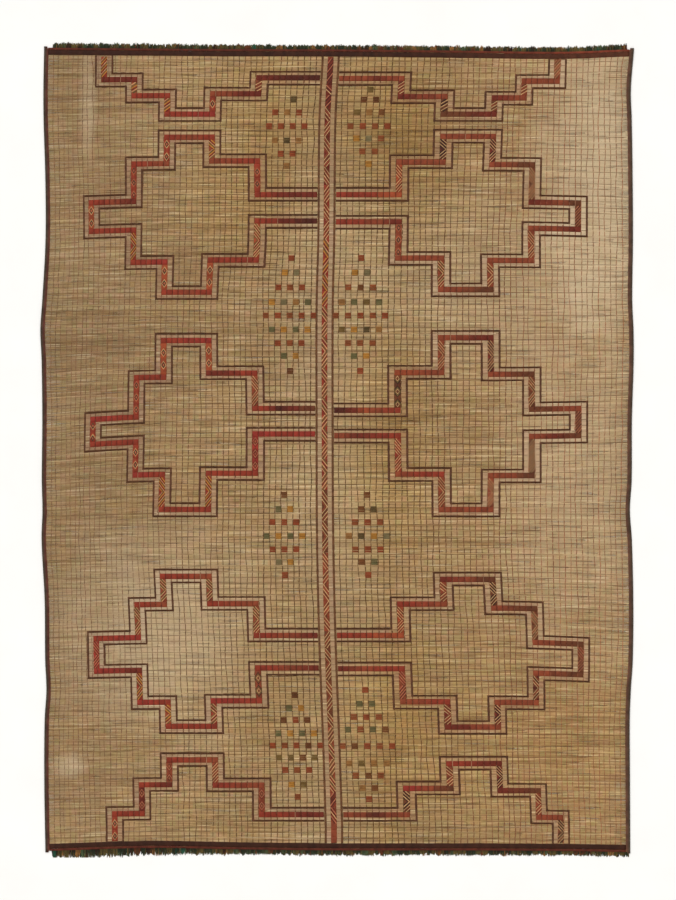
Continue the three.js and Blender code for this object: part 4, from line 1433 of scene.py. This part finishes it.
# %% Chart of the squares
SQUARE_GROUPS = {
    "top left": {"cell": -5.5, "rows": (
        (1957, 1, "dark_green"), (1884, 0, "red tan red"), (1807, 0, "red red red red"),
        (1727, 0, "tan dark_green tan"), (1653, 0, "red red"), (1586, 0, "tan"))},
    "top right": {"cell": 5.5, "rows": (
        (2012, 0, "olive"), (1955, 0, "maroon maroon"), (1884, 0, "olive tan brown"),
        (1807, 0, "brick red brick red"), (1739, 0, "gold grey brick"), (1666, 0, "brick brick"),
        (1595, 0, "gold"))},
    "upper left": {"cell": -4.5, "rows": (
        (1070, 0, "red"), (989, 0, "gold grey"), (906, 0, "red brick red"),
        (824, 0, "gold grey tan green"), (749, 0, "brick red brick red red"),
        (671, 0, "green gold green gold"), (595, 0, "red brick red"), (523, 0, "green gold"),
        (439, 0, "maroon"))},
    "upper right": {"cell": 4.5, "rows": (
        (1070, 0, "red"), (989, 0, "gold grey"), (906, 0, "brick brown brick"),
        (824, 0, "tan green olive green"), (749, 0, "brick brick red brick red"),
        (671, 0, "olive gold dark_green tan"), (595, 0, "brick brick brick"), (523, 0, "green gold"),
        (439, 0, "red"))},
    "lower left": {"cell": -5.5, "rows": (
        (-253, 0, "brown"), (-333, 0, "green gold"), (-406, 0, "red red red"),
        (-483, 0, "green gold green gold"), (-558, 0, "red red red"), (-628, 0, "grey gold"),
        (-702, 0, "red"))},
    "lower right": {"cell": 5.5, "rows": (
        (-253, 0, "brown"), (-333, 0, "brown dark_green"), (-406, 0, "brick red brick"),
        (-483, 0, "tan dark_green gold grey"), (-558, 0, "brick red red"), (-628, 0, "brown green"),
        (-702, 0, "red"))},
    "bottom left": {"cell": -4.5, "rows": (
        (-1373, 0, "maroon"), (-1445, 0, "green gold"), (-1512, 0, "maroon red maroon"),
        (-1586, 0, "green gold green gold"), (-1654, 0, "red brick red maroon red"),
        (-1722, 0, "olive olive brown olive"), (-1791, 0, "red brick red"), (-1872, 0, "gold olive"),
        (-1941, 0, "brick"))},
    "bottom right": {"cell": 4.5, "rows": (
        (-1343, 0, "red"), (-1421, 0, "green green"), (-1495, 0, "brick red brick"),
        (-1564, 0, "green brick green brown"), (-1657, 0, "brick brown red brick red"),
        (-1754, 0, "tan olive tan tan"), (-1822, 0, "brick brown brick"), (-1891, 0, "tan brown"),
        (-1953, 0, "red"))},
}
SQUARE_HALF, SQUARE_STRIPS, SQUARE_WORN = 16.5, 3, (0.34, (118, 76, 26))


def squares(group):
    """Squares of a row stand two cells apart, and a row moves by its shift in cells."""
    heap = Heap()
    centre = group["cell"] + math.copysign(SPINE_HALF, group["cell"])
    for rise, shift, words in group["rows"]:
        names = words.split()
        middles = centre + shift + 2 * (np.arange(len(names)) - (len(names) - 1) / 2)
        for strip in range(SQUARE_STRIPS):
            low = rise - SQUARE_HALF + 2 * SQUARE_HALF / SQUARE_STRIPS * strip
            lows = low + chance.uniform(-0.8, 0.8, len(names))
            highs = lows + 2 * SQUARE_HALF / SQUARE_STRIPS - 0.4
            tops = CELL_TOP + chance.uniform(-0.35, 0.35, len(names))
            sides = middles - 0.5 + chance.uniform(-0.04, 0.02, len(names)), middles + 0.5
            heap.add(*cushions(*sides, lows, highs, tops), names, SQUARE_WORN)
    return heap


for place, group in SQUARE_GROUPS.items():
    settle(squares(group).piece(f"squares_{place.replace(' ', '_')}", laced_leather), "red_leather")
print("squares:", sum(len(words.split()) for g in SQUARE_GROUPS.values() for _, _, words in g["rows"]))

# %% [markdown]
# ## The edges
# A strip of dark leather is folded over the reeds' ends along each side. Its section is a rounded fold: over
# the top, round the outside and back below. It is carried along the side's line, a little thicker here and
# thinner there, as a strip that was pulled tight by hand.

# %% Side bindings
FOLD_OVER = {
    "inward": (24.6, 23.8, 18, 9, 2.5, 0.2, 0.2, 2.5, 12, 20),
    "height": (4.1, 5.6, 6.5, 6.6, 5.9, 4.2, 1.6, 0.25, 0.05, 0.05),
}
BINDING_STEP, BINDING_TAB, BINDING_NARROWS, UPPER_POINTS = 24, 7, 0.3, 5


def folded_strip(name, line, inward_x, inward_y, widths, section, colours, lengths, axis, paler_by=1.0):
    """A section carried along a line of points. inward is the way to the mat's middle at each point."""
    count, sides = len(line), len(section["inward"])
    reach = np.array(section["inward"])[None] * widths[:, None]
    reach = reach + np.where(np.arange(sides) < UPPER_POINTS, chance.normal(0, 0.35, (count, 1)), 0)
    across = line[:, :1] + reach * inward_x
    up = line[:, 1:] + reach * inward_y
    tall = np.broadcast_to(np.array(section["height"]), across.shape).copy()
    tall[:, 1:UPPER_POINTS] += 0.25 * np.sin(np.arange(count) * 1.7)[:, None]
    faces = grid_faces(1, count, sides, closed=True)
    caps = [np.arange(sides)[::-1][None], (np.arange(sides) + (count - 1) * sides)[None]]
    if inward_x > inward_y:
        faces, caps = faces[:, ::-1], [c[:, ::-1] for c in caps]
    tones = (chance.uniform(0.8, 1.2, count) * paler_by)[:, None, None]
    dye = (linear(np.array(colours))[None] * tones).reshape(-1, 3)
    return make_piece(name, points_of(across, up, tall), [faces, *caps], edge_leather, dye=dye,
                      lengths=lengths, axis=axis)


BINDING_DYES = {
    "left": ((124, 84, 62), (102, 54, 42), (84, 44, 34), (68, 52, 40), (60, 50, 38)),
    "right": ((122, 82, 64), (102, 62, 46), (88, 58, 42), (78, 58, 44), (70, 56, 42)),
}


def side_binding(place, side):
    ends = [end_line(end, side * HALF_LEFT) + end * BINDING_TAB for end in (-1, 1)]
    rises = np.linspace(*ends, round((ends[1] - ends[0]) / BINDING_STEP))
    line = np.stack([left_side(rises) if side < 0 else right_side(rises), rises], 1)
    near_end = np.clip((np.abs(rises) - HALF_LENGTH + 4) / 12, 0, 1)
    widths = 1 - BINDING_NARROWS * near_end
    colours = [*BINDING_DYES[place], *[BINDING_DYES[place][-1]] * 5]
    return folded_strip(f"side_binding_{place}_leather", line, -side, 0, widths, FOLD_OVER, colours, 24, 1)


side_bindings = []
for place, side in (("left", -1), ("right", 1)):
    side_bindings.append(settle(side_binding(place, side), "side_leather", f"side_binding_{place}"))
print("side bindings:", [triangles[p.name] for p in side_bindings])

# %% [markdown]
# At each end a narrow red-brown strip is folded over the last reeds in the same way, and a dark brown strip
# lies beside it on the reeds. The strips at the top are made paler towards the right.

# %% End pipings and end bands
PIPING = {
    "inward": (12.4, 11.8, 9, 5, 1.2, 0.1, 0.1, 1.2, 6, 10),
    "height": (4.1, 5.6, 6.3, 6.3, 5.7, 4.2, 1.6, 0.25, 0.05, 0.05),
}
END_BAND = {"inward": (41, 40, 34, 27.6, 20, 13.8, 12.8), "height": (3.8, 5.5, 6.2, 6.3, 6.2, 5.6, 3.8)}
END_STEP = 16
BINDING_WIDE = 23.8


def end_stretch(end):
    rise = end * (HALF_LENGTH - 20)
    left, right = left_side(rise) + BINDING_WIDE, right_side(rise) - BINDING_WIDE
    across = np.linspace(left, right, round((right - left) / END_STEP))
    return np.stack([across, end_line(end, across)], 1)


def end_piece(name, end, section, colour):
    line = end_stretch(end)
    colours = [colour] * len(section["inward"])
    # The top strips are made paler towards the right.
    paler_by = 1 + (end > 0) * np.clip((line[:, 0] - 400) / 1000, 0, 1)
    return folded_strip(name, line, 0, -end, np.ones(len(line)), section, colours, 16, 0, paler_by)


end_pieces = []
for place, end in (("top", 1), ("bottom", -1)):
    piping = end_piece(f"end_piping_{place}_leather", end, PIPING, (86, 36, 22))
    end_pieces.append(settle(piping, "red_leather", f"end_piping_{place}"))
    band = end_piece(f"end_band_{place}_leather", end, END_BAND, (56, 27, 14))
    end_pieces.append(settle(band, "end_leather", f"end_band_{place}"))
print("end pieces:", [triangles[p.name] for p in end_pieces])

# %% [markdown]
# ## The fringes
# Past each end stands a short thick fringe of cut leather locks, mostly dark green and olive, with brown and
# tan ones among them. Each lock is a narrow tapering strip that falls from the edge to the floor and lies on
# it. There are three layers of them, each a little shorter and higher than the one below. The locks hang in
# tufts of much the same dye, so the fringe's outline is a row of small lumps. Each lock is painted darker at
# its root and lighter at its tip, and the lower layers darker than the upper ones: painted shade under the edge
# and under the layers above, and painted light on the tips.

# %% Fringe locks
FRINGE_DYES = ("dark_green", "olive", "green", "dark", "tan", "brown", "teal")
FRINGE_SHARES = (0.38, 0.3, 0.1, 0.11, 0.04, 0.06, 0.01)
FRINGE_REACH, TUFT_WIDE = 2281, (18, 46)
FRINGE_LONG = {"top": ((-1600, 38), (-1200, 35), (0, 32), (1600, 38)),
               "bottom": ((-1600, 58), (-1100, 52), (-500, 37), (1600, 34))}
FRINGE_FROM = {"top": (-1587, 1618), "bottom": (-1592, 1630)}
LOCKS, LAYERS, LOCK_STATIONS = 860, 3, 5
# Painted shade and light along a lock, from its root under the edge to its tip on the floor.
LOCK_LIGHT_AND_SHADE = np.array([0.6, 0.7, 0.9, 1.15, 1.4])
TUFT_SHARE = 0.8


def tufts(across):
    """The fringe's reach at each place, from 0 to 1, how far that is from its tuft's middle, and its tuft."""
    edges = [across.min() - 1]
    while edges[-1] < across.max():
        edges.append(edges[-1] + chance.uniform(*TUFT_WIDE))
    edges = np.array(edges)
    tall = chance.uniform(0.72, 1.0, len(edges))
    tuft = np.searchsorted(edges, across) - 1
    middle, half = (edges[tuft] + edges[tuft + 1]) / 2, (edges[tuft + 1] - edges[tuft]) / 2
    off = (across - middle) / half
    return tall[tuft] * (0.6 + 0.4 * np.sqrt(np.maximum(0, 1 - off**2))), off, tuft


def fringe(place, end):
    roots = np.linspace(*FRINGE_FROM[place], LOCKS * LAYERS)
    roots = roots + chance.uniform(-1.4, 1.4, len(roots))
    long = np.interp(roots, *np.array(FRINGE_LONG[place]).T)
    points, faces, dyes = [], [], []
    per_lock = LOCK_STATIONS * 4
    for layer in range(LAYERS):
        root = roots[layer::LAYERS]
        lumps, off, tuft = tufts(root)
        length = long[layer::LAYERS] * lumps * chance.uniform(0.86, 1.08, LOCKS) - 1.5 * layer
        lean = chance.normal(0, 3.5, LOCKS) - 4 * off
        half = chance.uniform(1.9, 3.6, LOCKS)
        foot = np.abs(end_line(end, root)) - 2.5
        length = np.minimum(length, FRINGE_REACH - foot)
        t = np.linspace(0, 1, LOCK_STATIONS)
        out = foot[:, None] + length[:, None] * t
        middle = root[:, None] + lean[:, None] * t**1.6 + chance.normal(0, 0.5, out.shape)
        narrow = half[:, None] * (1 - 0.5 * t**2)
        rest = 0.35 + 0.75 * layer + chance.uniform(0, 0.3, (LOCKS, 1))
        tall = rest + (3.4 + 0.5 * layer - rest) * (1 - t) ** 2
        xs = np.stack([middle - narrow, middle, middle + narrow, middle], -1)
        zs = np.stack([tall, tall + 1.0, tall, tall - 0.3], -1)
        ys = np.broadcast_to(out[..., None], xs.shape) * end
        cockle = lift(xs, ys) * (1 - t)[None, :, None]
        points.append(np.stack([xs, ys, zs + cockle], -1).reshape(-1, 3) * MM)
        turned = grid_faces(LOCKS, LOCK_STATIONS, 4, closed=True)[:, ::end]
        faces.append(turned + layer * LOCKS * per_lock)
        shared = chance.choice(FRINGE_DYES, tuft.max() + 1, p=FRINGE_SHARES)[tuft]
        with_tuft = chance.random(LOCKS) < TUFT_SHARE
        names = np.where(with_tuft, shared, chance.choice(FRINGE_DYES, LOCKS, p=FRINGE_SHARES))
        lock_dye = np.concatenate([dyed(name) for name in names])[:, None, None]
        # Painted shade and light: darker at the root and in the lower layers, under the edge and the layers
        # above, lighter at the tip.
        tone = (LOCK_LIGHT_AND_SHADE - 0.12 * (LAYERS - 1 - layer))[None, :, None, None]
        dyes.append(np.broadcast_to(lock_dye * tone, (LOCKS, LOCK_STATIONS, 4, 3)).reshape(-1, 3))
    return make_piece(f"fringe_{place}_locks", np.concatenate(points), faces, fringe_leather,
                      dye=np.concatenate(dyes), lengths=16, axis=0)


fringes = [settle(fringe(p, e), "fringe_leather", f"fringe_{p}") for p, e in (("top", 1), ("bottom", -1))]
print("fringes:", [triangles[p.name] for p in fringes])

# %% [markdown]
# ## The floor
# A plain pale floor carries the mat. It has a very faint unevenness, so that it doesn't look like paper.

# %% Floor
def floor_material():
    material, tree, shader = start_material("pale_floor", (251, 250, 248))
    place = node(tree, "ShaderNodeTexCoord").outputs["Object"]
    colour = ramp(tree, noise(tree, place, 3.0, 3.0), ((0.3, (250, 249, 246)), (0.7, (253, 252, 250))))
    tree.links.new(colour, shader.inputs["Base Color"])
    shader.inputs["Roughness"].default_value = 0.9
    return material


FLOOR_HALF = 30
floor_mesh = bpy.data.meshes.new("floor")
corners = [(x * FLOOR_HALF, y * FLOOR_HALF, 0) for x, y in ((-1, -1), (1, -1), (1, 1), (-1, 1))]
floor_mesh.from_pydata(corners, [], [(0, 1, 2, 3)])
floor_mesh.materials.append(floor_material())
floor = bpy.data.objects.new("floor", floor_mesh)
bpy.context.scene.collection.objects.link(floor)
print("floor is", 2 * FLOOR_HALF, "m wide")

# %% [markdown]
# ## Triangles
# The pieces' triangles are counted, in all and in the largest piece.

print("triangles in all:", sum(triangles.values()), "largest piece:", max(triangles.values()))
